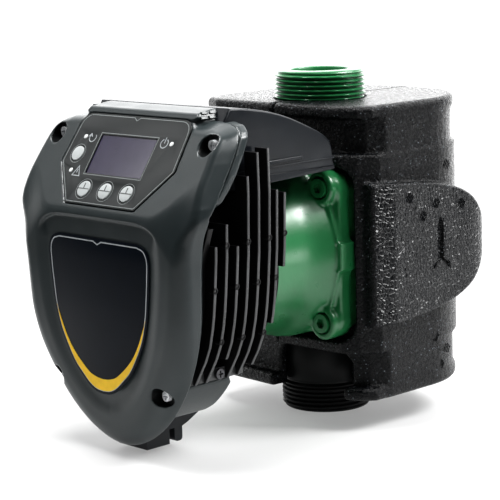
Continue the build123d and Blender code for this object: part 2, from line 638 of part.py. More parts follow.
def head():
    """Cover, housing, chin, hood and heat sink."""
    save("front_cover", front_cover())
    rim = rear_housing()
    save("rear_housing", rim)
    save("heat_sink", heat_sink())
    save("cooling_fins", *cooling_fins())
    save("hood", hood())
    save("terminal_chin", chin())
    socket = side_slab(connector_profile(), -SOCKET_HALF_X, SOCKET_HALF_X)
    for x in (-6, -2, 2, 6):
        socket -= rod_z(1.2, 3, 12, x, SOCKET_FRONT + 7)
    save("connector_socket", socket)
    latch_front = SOCKET_FRONT + 18
    latch = block(SOCKET_HALF_X - 6, SOCKET_HALF_X, latch_front, latch_front + 5, 6, 13)
    save("connector_latch", fillet(latch.edges().filter_by(Axis.X).group_by(Axis.Z)[0], 1.8))


def controls():
    """Everything on or behind the sloped panel."""
    save("panel_overlay", overlay())
    save("display_window", panel_location(0, DISPLAY_Z, -0.9) * Box(DISPLAY_WIDTH, DISPLAY_HEIGHT, 1))
    module = Box(DISPLAY_WIDTH + 1.8, DISPLAY_HEIGHT + 0.4, 3)
    save("display_module", panel_location(0, DISPLAY_Z, -3) * module)
    board = panel_location(0, 146, -8.5) * Box(76, 44, BOARD_THICK)
    save("control_board", board)
    names = ("round_button", "key_left", "key_middle", "key_right")
    for name, (x, z, radius) in zip(names, key_places()):
        cap = on_panel(x, z, radius, -1.6, OVERLAY_THICK + 0.5)
        stem = on_panel(x, z, radius * 0.45, -7.0, -1.6)
        save(name, cap + stem)
    lamps = [on_panel(x, z, LED_R, -7.6, OVERLAY_THICK + 0.1) for x, z in led_places()]
    save("status_lamps", *lamps)


def label_plate():
    """Label in the cover's recess."""
    points = [(0, 111), (29, 111), (37, 104), (35.8, 86), (34.5, 75), (30.6, 62.5), (22, 48.5),
              (11, 38), (0, 35.2)]
    floor = COVER_FRONT + RECESS_DEPTH
    return slab(Polygon(*mirrored(points), align=None), floor - LABEL_THICK, floor)


def label_arc():
    """Yellow crescent along the label's lower edge."""
    outer = [(33.0, 75), (28.9, 63.4), (20.9, 50), (10, 40), (0, 37)]
    inner = [(27.2, 63.5), (20.8, 54.2), (11, 45.8), (0, 42.7)]
    left = [(-x, z) for x, z in reversed(outer[:-1])] + [(-x, z) for x, z in inner[:-1]]
    face = Polygon(*outer, *left, *reversed(inner), align=None)
    floor = COVER_FRONT + RECESS_DEPTH
    return slab(face, floor - LABEL_THICK - 0.2, floor - LABEL_THICK)


def electronics():
    """Power board and its large components, the label, the seals and the screws."""
    board_y = RIM_BACK - 2.6
    board = slab(cover_outline(9), board_y - BOARD_THICK, board_y) & block(-60, 60, -150, -100, 30, 108)
    for x, z in screw_places():
        board -= rod_y(4.5, -150, -120, x, z)
    save("power_board", board)
    can_r = 5.0
    cans = [rod_z(can_r, 78, 104, x, board_y - BOARD_THICK - can_r) for x in (-30, -18)]
    save("capacitors", *cans)
    save("inductor", block(8, 28, board_y - BOARD_THICK - 9, board_y - BOARD_THICK, 82, 102))
    save("power_module", block(-16, 16, board_y, RIM_BACK + 0.2, 56, 72))
    save("label_plate", label_plate())
    save("label_arc", label_arc())
    seal = slab(cover_outline(1.9), COVER_FRONT, 0) - slab(cover_outline(2.5), COVER_FRONT - 1, 1)
    seal &= head_space(COVER_BACK, COVER_DEPTH_TOP)
    save("cover_gasket", seal - head_space(COVER_BACK + SEAM, COVER_DEPTH_TOP + SEAM))
    screws = []
    for x, z in screw_places():
        screw = cross_screw(SCREW_HEAD_R, SCREW_HEAD_LENGTH, SCREW_SHANK_R, 10)
        screws.append(Pos(x, well_floor(z), z) * Rot(90, 0, 0) * screw)
    save("cover_screws", *screws)
    sink_screws = []
    for side in (-1, 1):
        place = Pos(side * SINK_BASE_X, SINK_SCREW_Y, SINK_SCREW_Z) * Rot(0, side * 90, 0)
        sink_screws.append(place * cross_screw(2.6, 1.8, SINK_SCREW_R, 5))
    save("heat_sink_screws", *sink_screws)


def main():
    """Build every node."""
    os.makedirs("parts", exist_ok=True)
    hydraulics()
    motor()
    insulation()
    head()
    controls()
    electronics()


main()
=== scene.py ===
"""Looks for the circulator pump: moulded shells, foam, castings, panel graphics, floor, light and camera."""
import math

import bmesh
import bpy
import numpy as np
from mathutils import Matrix, Vector


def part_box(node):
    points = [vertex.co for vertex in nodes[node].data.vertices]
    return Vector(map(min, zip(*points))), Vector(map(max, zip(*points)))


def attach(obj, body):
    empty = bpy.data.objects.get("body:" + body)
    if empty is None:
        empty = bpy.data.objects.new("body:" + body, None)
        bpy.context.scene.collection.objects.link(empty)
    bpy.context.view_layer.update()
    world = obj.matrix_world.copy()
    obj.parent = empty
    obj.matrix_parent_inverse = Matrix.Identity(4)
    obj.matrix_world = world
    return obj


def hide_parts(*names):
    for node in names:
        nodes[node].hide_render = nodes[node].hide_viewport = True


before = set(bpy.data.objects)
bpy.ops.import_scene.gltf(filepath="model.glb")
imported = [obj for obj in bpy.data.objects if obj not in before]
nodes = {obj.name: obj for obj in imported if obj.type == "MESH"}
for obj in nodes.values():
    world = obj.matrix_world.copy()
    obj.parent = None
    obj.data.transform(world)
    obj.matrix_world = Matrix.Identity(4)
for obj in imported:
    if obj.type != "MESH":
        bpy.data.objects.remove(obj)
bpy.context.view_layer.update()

MM = 0.001                       # lengths below are millimetres, meshes are metres
AXIS_Z = 90.0                    # motor axis, halfway between the ports
PORT_TOP = 180.0


def box_mm(node):
    """Lowest and highest corner of a CAD node, in millimetres."""
    low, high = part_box(node)
    return low / MM, high / MM


# ---- the sloped panel and the lower front ----
COVER_LOW, COVER_HIGH = box_mm("front_cover")
COVER_FRONT = COVER_LOW.y        # lower front plane
PANEL_SLOPE = 0.69               # run back for each rise
PANEL_COS = math.cos(math.atan(PANEL_SLOPE))
PANEL_ORIGIN = Vector((0, -135.8, 150))
PANEL_UP = Vector((0, PANEL_SLOPE * PANEL_COS, PANEL_COS))
PANEL_OUT = Vector((0, -PANEL_COS, PANEL_SLOPE * PANEL_COS))
RECESS_DEPTH = 1.7
WINDOW_Z = 148.4                 # height of the display's middle
LABEL_Y = COVER_FRONT + 1.5


def frame_matrix(origin, right, up):
    """Matrix whose local X, Y and Z are right, up and out, in millimetres."""
    out = Vector(right).cross(Vector(up))
    columns = [Vector(right), Vector(up), out, Vector(origin)]
    return Matrix([[c[i] for c in columns] for i in range(3)] + [[0, 0, 0, 1]])


PANEL = frame_matrix(PANEL_ORIGIN, (1, 0, 0), PANEL_UP)
FRONT = frame_matrix((0, LABEL_Y, 0), (1, 0, 0), (0, 0, 1))


def panel_v(z):
    """Distance up the panel of a point at height z."""
    return (z - PANEL_ORIGIN.z) / PANEL_COS


def panel_y(z):
    """Y of the panel's plane at height z."""
    return PANEL_ORIGIN.y + PANEL_SLOPE * (z - PANEL_ORIGIN.z)


# ---- materials ----
def add_node(tree, kind, **values):
    """A new node with its settings and socket values."""
    made = tree.nodes.new("ShaderNode" + kind)
    for key, value in values.items():
        if key in made.inputs:
            made.inputs[key].default_value = value
        else:
            setattr(made, key, value)
    return made


def set_stops(node, stops):
    """Fill a colour ramp with (position, grey or colour) stops."""
    elements = node.color_ramp.elements
    while len(elements) < len(stops):
        elements.new(0.5)
    for element, (place, value) in zip(elements, stops):
        element.position = place
        element.color = (*value, 1) if hasattr(value, "__len__") else (value, value, value, 1)


class Shader:
    """A material with a Principled shader and short calls for its nodes."""

    def __init__(self, name, color, roughness, metallic=0.0, **sockets):
        self.material = bpy.data.materials.new(name)
        self.material.use_nodes = True
        self.tree = self.material.node_tree
        self.main = self.tree.nodes["Principled BSDF"]
        self.main.inputs["Base Color"].default_value = (*color, 1)
        self.main.inputs["Roughness"].default_value = roughness
        self.main.inputs["Metallic"].default_value = metallic
        for socket, value in sockets.items():
            self.main.inputs[socket.replace("_", " ")].default_value = value
        self.coords = add_node(self.tree, "TexCoord").outputs["Object"]
        self.bump_last = None

    def link(self, output, socket):
        """Join two sockets."""
        self.tree.links.new(output, socket)

    def noise(self, scale, detail=3.0, roughness=0.55):
        """Fractal noise over the object."""
        made = add_node(self.tree, "TexNoise", Scale=scale, Detail=detail, Roughness=roughness)
        self.link(self.coords, made.inputs["Vector"])
        return made.outputs["Fac"]

    def cells(self, scale, feature="F1", output="Distance"):
        """Cell pattern over the object."""
        made = add_node(self.tree, "TexVoronoi", Scale=scale, feature=feature)
        self.link(self.coords, made.inputs["Vector"])
        return made.outputs[output]

    def ramp(self, factor, stops):
        """Colour ramp of (position, grey or colour) stops."""
        made = add_node(self.tree, "ValToRGB")
        set_stops(made, stops)
        self.link(factor, made.inputs["Fac"])
        return made.outputs["Color"]

    def color(self, output):
        self.link(output, self.main.inputs["Base Color"])
        return self

    def roughness(self, output):
        self.link(output, self.main.inputs["Roughness"])
        return self

    def bump(self, height, distance, strength=1.0):
        """Add a bump of this height in metres on top of those before it."""
        made = add_node(self.tree, "Bump", Distance=distance, Strength=strength)
        self.link(height, made.inputs["Height"])
        if self.bump_last is not None:
            self.link(self.bump_last, made.inputs["Normal"])
        self.bump_last = made.outputs["Normal"]
        self.link(self.bump_last, self.main.inputs["Normal"])
        return self


def moulded(name, dark, light, rough_low, rough_high, grain=2600.0, depth=0.00006, level=0.5):
    """Textured moulded plastic: fine grain, slight cloudiness in gloss and colour."""
    made = Shader(name, dark, rough_low, Specular_IOR_Level=level)
    made.color(made.ramp(made.noise(38, 4), [(0.35, dark), (0.7, light)]))
    made.roughness(made.ramp(made.noise(60, 5), [(0.3, rough_low), (0.75, rough_high)]))
    made.bump(made.noise(grain, 2, 0.6), depth, 0.6)
    return made.material


def coated_green(name):
    """Satin green coating over a cast surface."""
    made = Shader(name, (0.02, 0.13, 0.05), 0.36, Coat_Weight=0.5, Coat_Roughness=0.28)
    made.color(made.ramp(made.noise(30, 5), [(0.3, (0.016, 0.15, 0.05)), (0.72, (0.024, 0.2, 0.07))]))
    made.roughness(made.ramp(made.noise(90, 4), [(0.3, 0.27), (0.8, 0.4)]))
    made.bump(made.noise(420, 3), 0.0002, 0.3)
    made.bump(made.noise(1500, 2), 0.00005, 0.4)
    return made.material


def bead_foam(name):
    """Expanded bead foam: pressed beads with fine seams; small bright specks in the colour are painted
    highlights.
    """
    made = Shader(name, (0.003, 0.004, 0.005), 0.3, Specular_IOR_Level=0.26)
    # Painted highlight: bright specks at the cell centres, a grey halo round them, then the dark foam.
    dark, painted_highlight_specks = (0.001, 0.0014, 0.0022), (0.42, 0.48, 0.53)
    made.color(made.ramp(made.cells(430), [(0.0, painted_highlight_specks), (0.12, (0.08, 0.09, 0.1)), (0.2, dark)]))
    made.roughness(made.ramp(made.noise(520, 4), [(0.35, 0.15), (0.7, 0.42)]))
    made.bump(made.ramp(made.cells(330, "DISTANCE_TO_EDGE"), [(0.0, 0.0), (0.14, 1.0)]), 0.0003, 0.5)
    made.bump(made.noise(620, 4, 0.7), 0.0009, 0.9)
    return made.material


def grained_foam(name):
    """The pressed leather-like grain on the foam's cheeks."""
    made = Shader(name, (0.0025, 0.0034, 0.005), 0.34, Specular_IOR_Level=0.5)
    made.roughness(made.ramp(made.noise(400, 4), [(0.35, 0.24), (0.7, 0.45)]))
    made.bump(made.ramp(made.cells(480, "DISTANCE_TO_EDGE"), [(0.0, 0.0), (0.2, 1.0)]), 0.0008, 0.9)
    made.bump(made.noise(900, 3, 0.7), 0.0003, 0.6)
    return made.material


def brushed(name, color, roughness):
    """Metal with fine random wear."""
    made = Shader(name, color, roughness, metallic=1.0)
    low = roughness * 0.8
    made.roughness(made.ramp(made.noise(300, 4), [(0.3, low), (0.8, roughness * 1.3)]))
    made.bump(made.noise(1800, 2), 0.00003, 0.5)
    return made.material


def simple(name, color, roughness, metallic=0.0, **sockets):
    """A small part's finish: slight variation in gloss and colour."""
    made = Shader(name, color, roughness, metallic, **sockets)
    darker = tuple(c * 0.85 for c in color)
    made.color(made.ramp(made.noise(120, 3), [(0.35, darker), (0.65, color)]))
    made.bump(made.noise(1200, 2), 0.00002, 0.4)
    return made.material


M = {
    "cover": moulded("cover_plastic", (0.026, 0.034, 0.036), (0.034, 0.043, 0.045), 0.28, 0.38, level=0.42),
    "black": moulded("black_plastic", (0.0045, 0.0065, 0.0095), (0.008, 0.011, 0.0155), 0.32, 0.46,
                     1900, 0.0001, 0.36),
    "sink": moulded("sink_coating", (0.003, 0.003, 0.0035), (0.006, 0.006, 0.0065), 0.35, 0.5,
                    1200, 0.0001, 0.3),
    # lighter grey for the fins' outer edges and bosses: painted highlight along the lit edges
    "fin_edge_painted_highlight": moulded("fin_edge_painted_highlight", (0.05, 0.052, 0.054), (0.085, 0.088, 0.09), 0.24, 0.36, 1500, 0.00005),
    "green": coated_green("green_coating"),
    "foam": bead_foam("bead_foam"),
    "foam_grain": grained_foam("foam_grain"),
    # near-black painted shade for the shaded lower port and the insides of the screw wells
    "painted_shade_black": moulded("painted_shade_black", (0.002, 0.0025, 0.003), (0.004, 0.005, 0.005), 0.4, 0.55,
                          1500, 0.00006, 0.25),
    "vent": simple("vent_marks", (0.0015, 0.002, 0.0025), 0.9, Specular_IOR_Level=0.05),
    "overlay": simple("overlay_film", (0.013, 0.0165, 0.017), 0.36, Specular_IOR_Level=0.4),
    "line": simple("print_grey", (0.26, 0.28, 0.28), 0.5),
    "display": simple("display_glass", (0.032, 0.026, 0.062), 0.2, Coat_Weight=0.4, Coat_Roughness=0.1),
    "key": simple("key_grey", (0.55, 0.58, 0.58), 0.45),
    "mark": simple("key_marks", (0.12, 0.13, 0.13), 0.5),
    "lamp": simple("lamp_white", (0.85, 0.87, 0.87), 0.35),
    "label": simple("label_navy", (0.003, 0.006, 0.0115), 0.34, Specular_IOR_Level=0.14),
    "white": simple("print_white", (0.45, 0.48, 0.5), 0.45),
    "yellow": simple("print_yellow", (0.95, 0.6, 0.008), 0.5),
    "zinc": simple("zinc", (0.85, 0.87, 0.89), 0.32, 0.4),
    "dark_steel": brushed("dark_steel", (0.09, 0.09, 0.095), 0.32),
    "steel": brushed("stainless", (0.55, 0.55, 0.56), 0.3),
    "copper": brushed("copper", (0.62, 0.26, 0.1), 0.35),
    "rubber": simple("rubber", (0.01, 0.01, 0.01), 0.7),
    "carbon": simple("carbon", (0.02, 0.02, 0.022), 0.5),
    "board": simple("solder_mask", (0.01, 0.09, 0.03), 0.4),
    "component": simple("component", (0.03, 0.03, 0.035), 0.45),
}


# ---- mesh helpers ----
def finish_piece(obj, material, body="root", replaced=(), angle=40):
    """Shade, paint and attach a finished mesh object."""
    obj.data.materials.clear()
    obj.data.materials.append(M[material])
    obj.data.polygons.foreach_set("use_smooth", [True] * len(obj.data.polygons))
    if angle is not None:
        obj.data.set_sharp_from_angle(angle=math.radians(angle))
    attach(obj, body)
    if replaced:
        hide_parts(*replaced)


def second_material(obj, material, chosen):
    """Paint the faces that chosen(centre in mm, normal) picks with another material."""
    obj.data.materials.append(M[material])
    for face in obj.data.polygons:
        face.material_index = int(chosen(face.center / MM, face.normal))


def new_object(name, data):
    """A linked object with this data."""
    obj = bpy.data.objects.new(name, data)
    bpy.context.scene.collection.objects.link(obj)
    return obj


def face_outwards(mesh, merge=0.0):
    """Turn all faces outwards, after merging points closer than a distance in metres."""
    work = bmesh.new()
    work.from_mesh(mesh)
    if merge:
        bmesh.ops.remove_doubles(work, verts=work.verts, dist=merge)
    bmesh.ops.recalc_face_normals(work, faces=work.faces)
    work.to_mesh(mesh)
    work.free()


def mesh_object(name, points, faces):
    """An object from points in millimetres."""
    mesh = bpy.data.meshes.new(name)
    mesh.from_pydata([tuple(p) for p in np.asarray(points) * MM], [], [tuple(f) for f in faces])
    mesh.validate()
    mesh.update()
    return new_object(name, mesh)


def plate(name, outlines, place, low, high, bevel=0.0):
    """A plate from closed outlines, inner ones being holes, between two levels of its place."""
    curve = bpy.data.curves.new(name, "CURVE")
    curve.dimensions = "2D"
    curve.fill_mode = "BOTH"
    for outline in outlines:
        spline = curve.splines.new("POLY")
        spline.points.add(len(outline) - 1)
        for point, (u, v) in zip(spline.points, outline):
            point.co = (u, v, 0, 1)
        spline.use_cyclic_u = True
    curve.extrude = (high - low) / 2 - bevel
    curve.bevel_depth = bevel
    curve.bevel_resolution = 2
    curve.offset = -bevel
    temp = new_object(name, curve)
    bpy.context.view_layer.update()
    mesh = bpy.data.meshes.new_from_object(temp.evaluated_get(bpy.context.evaluated_depsgraph_get()))
    bpy.data.objects.remove(temp)
    mesh.transform(Matrix.Scale(MM, 4) @ place @ Matrix.Translation((0, 0, (low + high) / 2)))
    face_outwards(mesh, 1e-7)
    return new_object(name, mesh)


def join(name, objects):
    """Merge mesh objects that are not yet attached."""
    work = bmesh.new()
    for obj in objects:
        work.from_mesh(obj.data)
        bpy.data.objects.remove(obj)
    mesh = bpy.data.meshes.new(name)
    work.to_mesh(mesh)
    work.free()
    return new_object(name, mesh)


def circle(u, v, radius, count=48):
    """A round outline."""
    turns = [2 * math.pi * i / count for i in range(count)]
    return [(u + radius * math.cos(t), v + radius * math.sin(t)) for t in turns]


def ribbon(path, width, closed=False):
    """Outline of a stroke of this width along a path, as one or two closed outlines."""
    pts = np.array(path, float)
    ahead = np.roll(pts, -1, 0) - pts
    if not closed:
        ahead[-1] = ahead[-2]
    ahead /= np.linalg.norm(ahead, axis=1)[:, None]
    behind = np.roll(ahead, 1, 0)
    if not closed:
        behind[0] = ahead[0]
    middle = ahead + behind
    middle /= np.linalg.norm(middle, axis=1)[:, None]
    scale = 1 / np.clip((middle * ahead).sum(1), 0.4, 1)
    side = np.stack([-middle[:, 1], middle[:, 0]], 1) * (scale * width / 2)[:, None]
    left, right = (pts + side).tolist(), (pts - side).tolist()
    return [left, right] if closed else [left + right[::-1]]


def round_corners(points, radius, steps=6):
    """Closed outline with its corners rounded; radius is one number or one for each corner."""
    pts = [Vector(p) for p in points]
    radii = radius if hasattr(radius, "__len__") else [radius] * len(pts)
    out = []
    for i, corner in enumerate(pts):
        before = pts[i - 1] - corner
        after = pts[(i + 1) % len(pts)] - corner
        angle = before.angle(after)
        reach = min(radii[i] / max(math.tan(angle / 2), 1e-3), before.length * 0.49, after.length * 0.49)
        start = corner + before.normalized() * reach
        end = corner + after.normalized() * reach
        for k in range(steps + 1):
            t = k / steps
            out.append(tuple((1 - t) ** 2 * start + 2 * t * (1 - t) * corner + t * t * end))
    return out


def mirrored(points):
    """Close a half outline, given from the top centre down, with its mirror image."""
    return list(points) + [(-x, z) for x, z in reversed(points) if x > 0]


def lathe(name, profile, centre=(0, 0, 0), axis="Z", count=96, height=None):
    """Turn a (radius, along) profile about an axis; height(angle, radius, along) may shift the radius."""
    points, faces = [], []
    turns = 2 * np.pi * np.arange(count) / count
    for radius, along in profile:
        r = radius + (height(turns, radius, along) if height else 0) * np.ones(count)
        a, b = r * np.cos(turns), r * np.sin(turns)
        c = np.full(count, along)
        ring = np.stack([a, b, c] if axis == "Z" else [a, c, -b], 1)
        points.append(ring + np.array(centre))
    for i in range(len(profile) - 1):
        for j in range(count):
            k = (j + 1) % count
            faces.append((i * count + j, i * count + k, (i + 1) * count + k, (i + 1) * count + j))
    return mesh_object(name, np.concatenate(points), faces)


# ---- solids from distance fields ----
class Grid:
    """A box of sample points with one spacing, in millimetres."""

    def __init__(self, low, high, step):
        axes = [np.arange(a - 1.5 * step, b + 2.5 * step, step, dtype=np.float32) for a, b in zip(low, high)]
        self.x = axes[0][:, None, None]
        self.y = axes[1][None, :, None]
        self.z = axes[2][None, None, :]
        self.rise = np.abs(self.z - AXIS_Z)
        self.low = np.array([a[0] for a in axes])
        self.step = step
        self.shape = tuple(len(a) for a in axes)


def polygon_distance(points, a, b):
    """Signed distance to a closed outline, negative inside, for coordinates a and b that broadcast."""
    pts = np.array(points, np.float32)
    best = np.full(np.broadcast(a, b).shape, 1e9, np.float32)
    inside = np.zeros(best.shape, bool)
    for (x0, y0), (x1, y1) in zip(pts, np.roll(pts, -1, 0)):
        ex, ey = x1 - x0, y1 - y0
        length = ex * ex + ey * ey
        if length < 1e-8:
            continue
        t = np.clip(((a - x0) * ex + (b - y0) * ey) / length, 0, 1)
        best = np.minimum(best, (a - x0 - t * ex) ** 2 + (b - y0 - t * ey) ** 2)
        if abs(ey) > 1e-9:
            inside ^= ((y0 > b) != (y1 > b)) & (a < ex * (b - y0) / ey + x0)
    return np.where(inside, -1, 1) * np.sqrt(best)


def cut(a, b, radius=0.0):
    """Where both are inside, with a rounded outer edge."""
    if np.isscalar(radius) and radius == 0:
        return np.maximum(a, b)
    u, v = a + radius, b + radius
    return np.minimum(np.maximum(u, v), 0) + np.hypot(np.maximum(u, 0), np.maximum(v, 0)) - radius


def fuse(a, b, radius=0.0):
    """Where either is inside, with a hollow fillet between them."""
    return -cut(-a, -b, radius)


def remove(a, b, radius=0.0):
    """Inside a and outside b."""
    return cut(a, -b, radius)


def box_field(g, low, high, radius=0.0):
    """Distance to a box with rounded edges."""
    parts = []
    for axis, a, b in zip((g.x, g.y, g.z), low, high):
        parts.append(np.abs(axis - (a + b) / 2) - (b - a) / 2 + radius)
    outside = np.sqrt(sum(np.maximum(p, 0) ** 2 for p in parts))
    return outside + np.minimum(np.maximum(np.maximum(parts[0], parts[1]), parts[2]), 0) - radius


def rod_field(g, x, z, radius, low, high, edge=0.0):
    """Distance to a round bar along Y."""
    return cut(np.hypot(g.x - x, g.z - z) - radius, np.abs(g.y - (low + high) / 2) - (high - low) / 2, edge)


def step_between(value, start, end):
    """Smooth step from 0 at start to 1 at end."""
    t = np.clip((value - start) / (end - start), 0, 1)
    return t * t * (3 - 2 * t)


def mesh_field(name, g, field):
    """Closed mesh of quads around the inside of a field, with its points on the surface."""
    f = np.broadcast_to(field, g.shape).astype(np.float32)
    nx, ny, nz = f.shape
    corners = [(i, j, k) for i in (0, 1) for j in (0, 1) for k in (0, 1)]
    inside = f < 0
    total = np.zeros((nx - 1, ny - 1, nz - 1), np.int8)
    for i, j, k in corners:
        total += inside[i:nx - 1 + i, j:ny - 1 + j, k:nz - 1 + k]
    cells = np.argwhere((total > 0) & (total < 8))
    index = np.full(total.shape, -1, np.int64)
    index[tuple(cells.T)] = np.arange(len(cells))
    place = np.zeros((len(cells), 3))
    hits = np.zeros(len(cells))
    for a in corners:
        for axis in range(3):
            if a[axis]:
                continue
            b = tuple(1 if n == axis else a[n] for n in range(3))
            fa = f[tuple((cells + a).T)]
            fb = f[tuple((cells + b).T)]
            crossing = (fa < 0) != (fb < 0)
            t = np.where(crossing, fa / np.where(crossing, fa - fb, 1), 0)
            point = cells + np.array(a, float)
            point[:, axis] += t
            place += point * crossing[:, None]
            hits += crossing
    points = g.low + place / hits[:, None] * g.step
    quads = []
    for axis in range(3):
        n, m = [i for i in range(3) if i != axis]
        lower = np.take(inside, range(f.shape[axis] - 1), axis)
        upper = np.take(inside, range(1, f.shape[axis]), axis)
        edges = np.argwhere(lower != upper)
        edges = edges[(edges[:, n] > 0) & (edges[:, m] > 0)]
        edges = edges[(edges[:, n] < f.shape[n] - 1) & (edges[:, m] < f.shape[m] - 1)]
        ring = []
        for dn, dm in ((0, 0), (-1, 0), (-1, -1), (0, -1)):
            cell = edges.copy()
            cell[:, n] += dn
            cell[:, m] += dm
            ring.append(index[tuple(cell.T)])
        ring = np.stack(ring, 1)
        flip = lower[tuple(edges.T)] == (axis == 1)
        ring[flip] = ring[flip][:, ::-1]
        quads.append(ring)
    quads = np.concatenate(quads)
    mesh = bpy.data.meshes.new(name)
    mesh.vertices.add(len(points))
    mesh.vertices.foreach_set("co", (points * MM).ravel())
    mesh.loops.add(quads.size)
    mesh.loops.foreach_set("vertex_index", quads.ravel())
    mesh.polygons.add(len(quads))
    mesh.polygons.foreach_set("loop_start", np.arange(len(quads)) * 4)
    mesh.update(calc_edges=True)
    return new_object(name, mesh)


# ---- control head ----
CHIN_HALF, CHIN_Z, CHIN_POWER = 58.0, 80.0, 1.8
WAIST_Z = 127.0
COVER_BACK = COVER_FRONT + 14
COVER_WALL = 2.6
PANEL_DEPTH = 12.0               # cover depth along Y on the sloped part
RIM_FRONT, RIM_BACK = 12.8, 19.0


def spline_path(points, steps=8):
    """Points along a smooth curve through the given points."""
    pts = [Vector(p) for p in points]
    pts = [2 * pts[0] - pts[1]] + pts + [2 * pts[-1] - pts[-2]]
    out = []
    for p0, p1, p2, p3 in zip(pts, pts[1:], pts[2:], pts[3:]):
        for k in range(steps):
            t = k / steps
            out.append(tuple(0.5 * ((2 * p1) + (p2 - p0) * t + (2 * p0 - 5 * p1 + 4 * p2 - p3) * t * t
                                    + (3 * p1 - p0 - 3 * p2 + p3) * t ** 3)))
    return out + [tuple(pts[-2])]


def chin_point(turn):
    """A point of the cover's lower outline, a slightly pointed half ellipse."""
    across, down = math.cos(math.radians(turn)), math.sin(math.radians(turn))
    depth = CHIN_Z - COVER_LOW.z
    return (CHIN_HALF * abs(across) ** (2 / CHIN_POWER), CHIN_Z - depth * down ** (2 / CHIN_POWER))


def head_outline():
    """Front outline of the cover, in X and Z: display head, shoulders, waist and tapering chin."""
    top, side, shoulder = COVER_HIGH.z, COVER_HIGH.x, COVER_HIGH.z - 7
    half = [(0, top), (36.9, top), (37.7, top - 0.4), (41.3, shoulder + 0.5), (41.9, shoulder)]
    half += spline_path([(50.5, shoulder - 0.4), (56.6, shoulder - 2.2), (61.0, shoulder - 5),
                         (63.4, shoulder - 10), (64.6, shoulder - 17)], 6)
    half += [(65.7, 136)]
    half += spline_path([(66.4, 129), (65.2, 123), (61.3, 114.5), (59.4, 104)] +
                        [chin_point(turn) for turn in range(0, 91, 6)], 3)
    return mirrored(half)


HEAD = head_outline()
RIM = mirrored([(0, 165), (49, 164.9), (55.5, 163.8), (59.6, 161.2), (61.7, 158.6), (63.6, 151),
                (64.7, 142.5), (64.4, 136), (63.2, 130.4), (60.6, 128), (0, 128)])
WELLS = [(side * x, z) for x, z in ((54.3, 156.0), (37.7, 39.0)) for side in (-1, 1)]
RIB_SECTION = ((-0.9, 0.7), (0.15, 0.9), (0.75, -0.1), (-0.3, -0.3))
WELL_R, WELL_DEPTH, LOW_WELL_DEPTH = 4.75, 5.7, 9.7
LEAN_TOP, LEAN_RUN, LEAN_POWER = 75.0, 7.0, 1.86     # the lower front leans back below LEAN_TOP
RECESS = mirrored(spline_path([
    (0, 121.3), (15, 121.3), (30, 121.0), (38, 119), (44, 114.2), (46.5, 108), (46.4, 96), (45, 84),
    (42, 68.5), (37.5, 55.8), (30.5, 43.5), (21, 32.8), (10, 25.7), (0, 23.5)], 4))


def slope_field(g, back):
    """In front of the sloped panel's plane, moved back along Y."""
    return (panel_y(g.z) + back - g.y) * PANEL_COS


def lean_back(z):
    """How far the lower front stands back at a height."""
    return LEAN_RUN * (np.maximum(LEAN_TOP - z, 0) / (LEAN_TOP - COVER_LOW.z)) ** LEAN_POWER


def head_front(g, recess=True):
    """The front surface: panel, fold, and the lower front that leans back and holds the recess."""
    lower = COVER_FRONT + lean_back(g.z) - g.y
    if recess:
        edge = polygon_distance(RECESS, g.x, g.z)
        run = 9.0 - 7.6 * step_between(g.z, 108, 117)
        lower = lower + RECESS_DEPTH * (1 - step_between(edge + run, 0, run))
    fold = 2.0 + 12 * step_between(np.abs(g.x), 36, 62)
    return cut(lower, slope_field(g, 0), fold)


def cover_behind(g):
    """Everything behind the cover's back."""
    return np.maximum(COVER_BACK - g.y, slope_field(g, PANEL_DEPTH))


def head_depth(x, y, z):
    """How deep a place lies behind the cover's front, along Y."""
    if z > AXIS_Z:
        return y - panel_y(z)
    return y - COVER_FRONT - lean_back(z)


def in_shaded_well(x, y, z):
    """Whether a place on the cover lies inside a screw well, where painted shade goes."""
    return head_depth(x, y, z) > 0.9 and any(math.hypot(x - a, z - b) < WELL_R + 0.15 for a, b in WELLS)


def panel_coordinates(g):
    """Coordinates on the panel: across, up and out."""
    up = (g.y - PANEL_ORIGIN.y) * PANEL_UP.y + (g.z - PANEL_ORIGIN.z) * PANEL_UP.z
    out = (g.y - PANEL_ORIGIN.y) * PANEL_OUT.y + (g.z - PANEL_ORIGIN.z) * PANEL_OUT.z
    return g.x, up, out


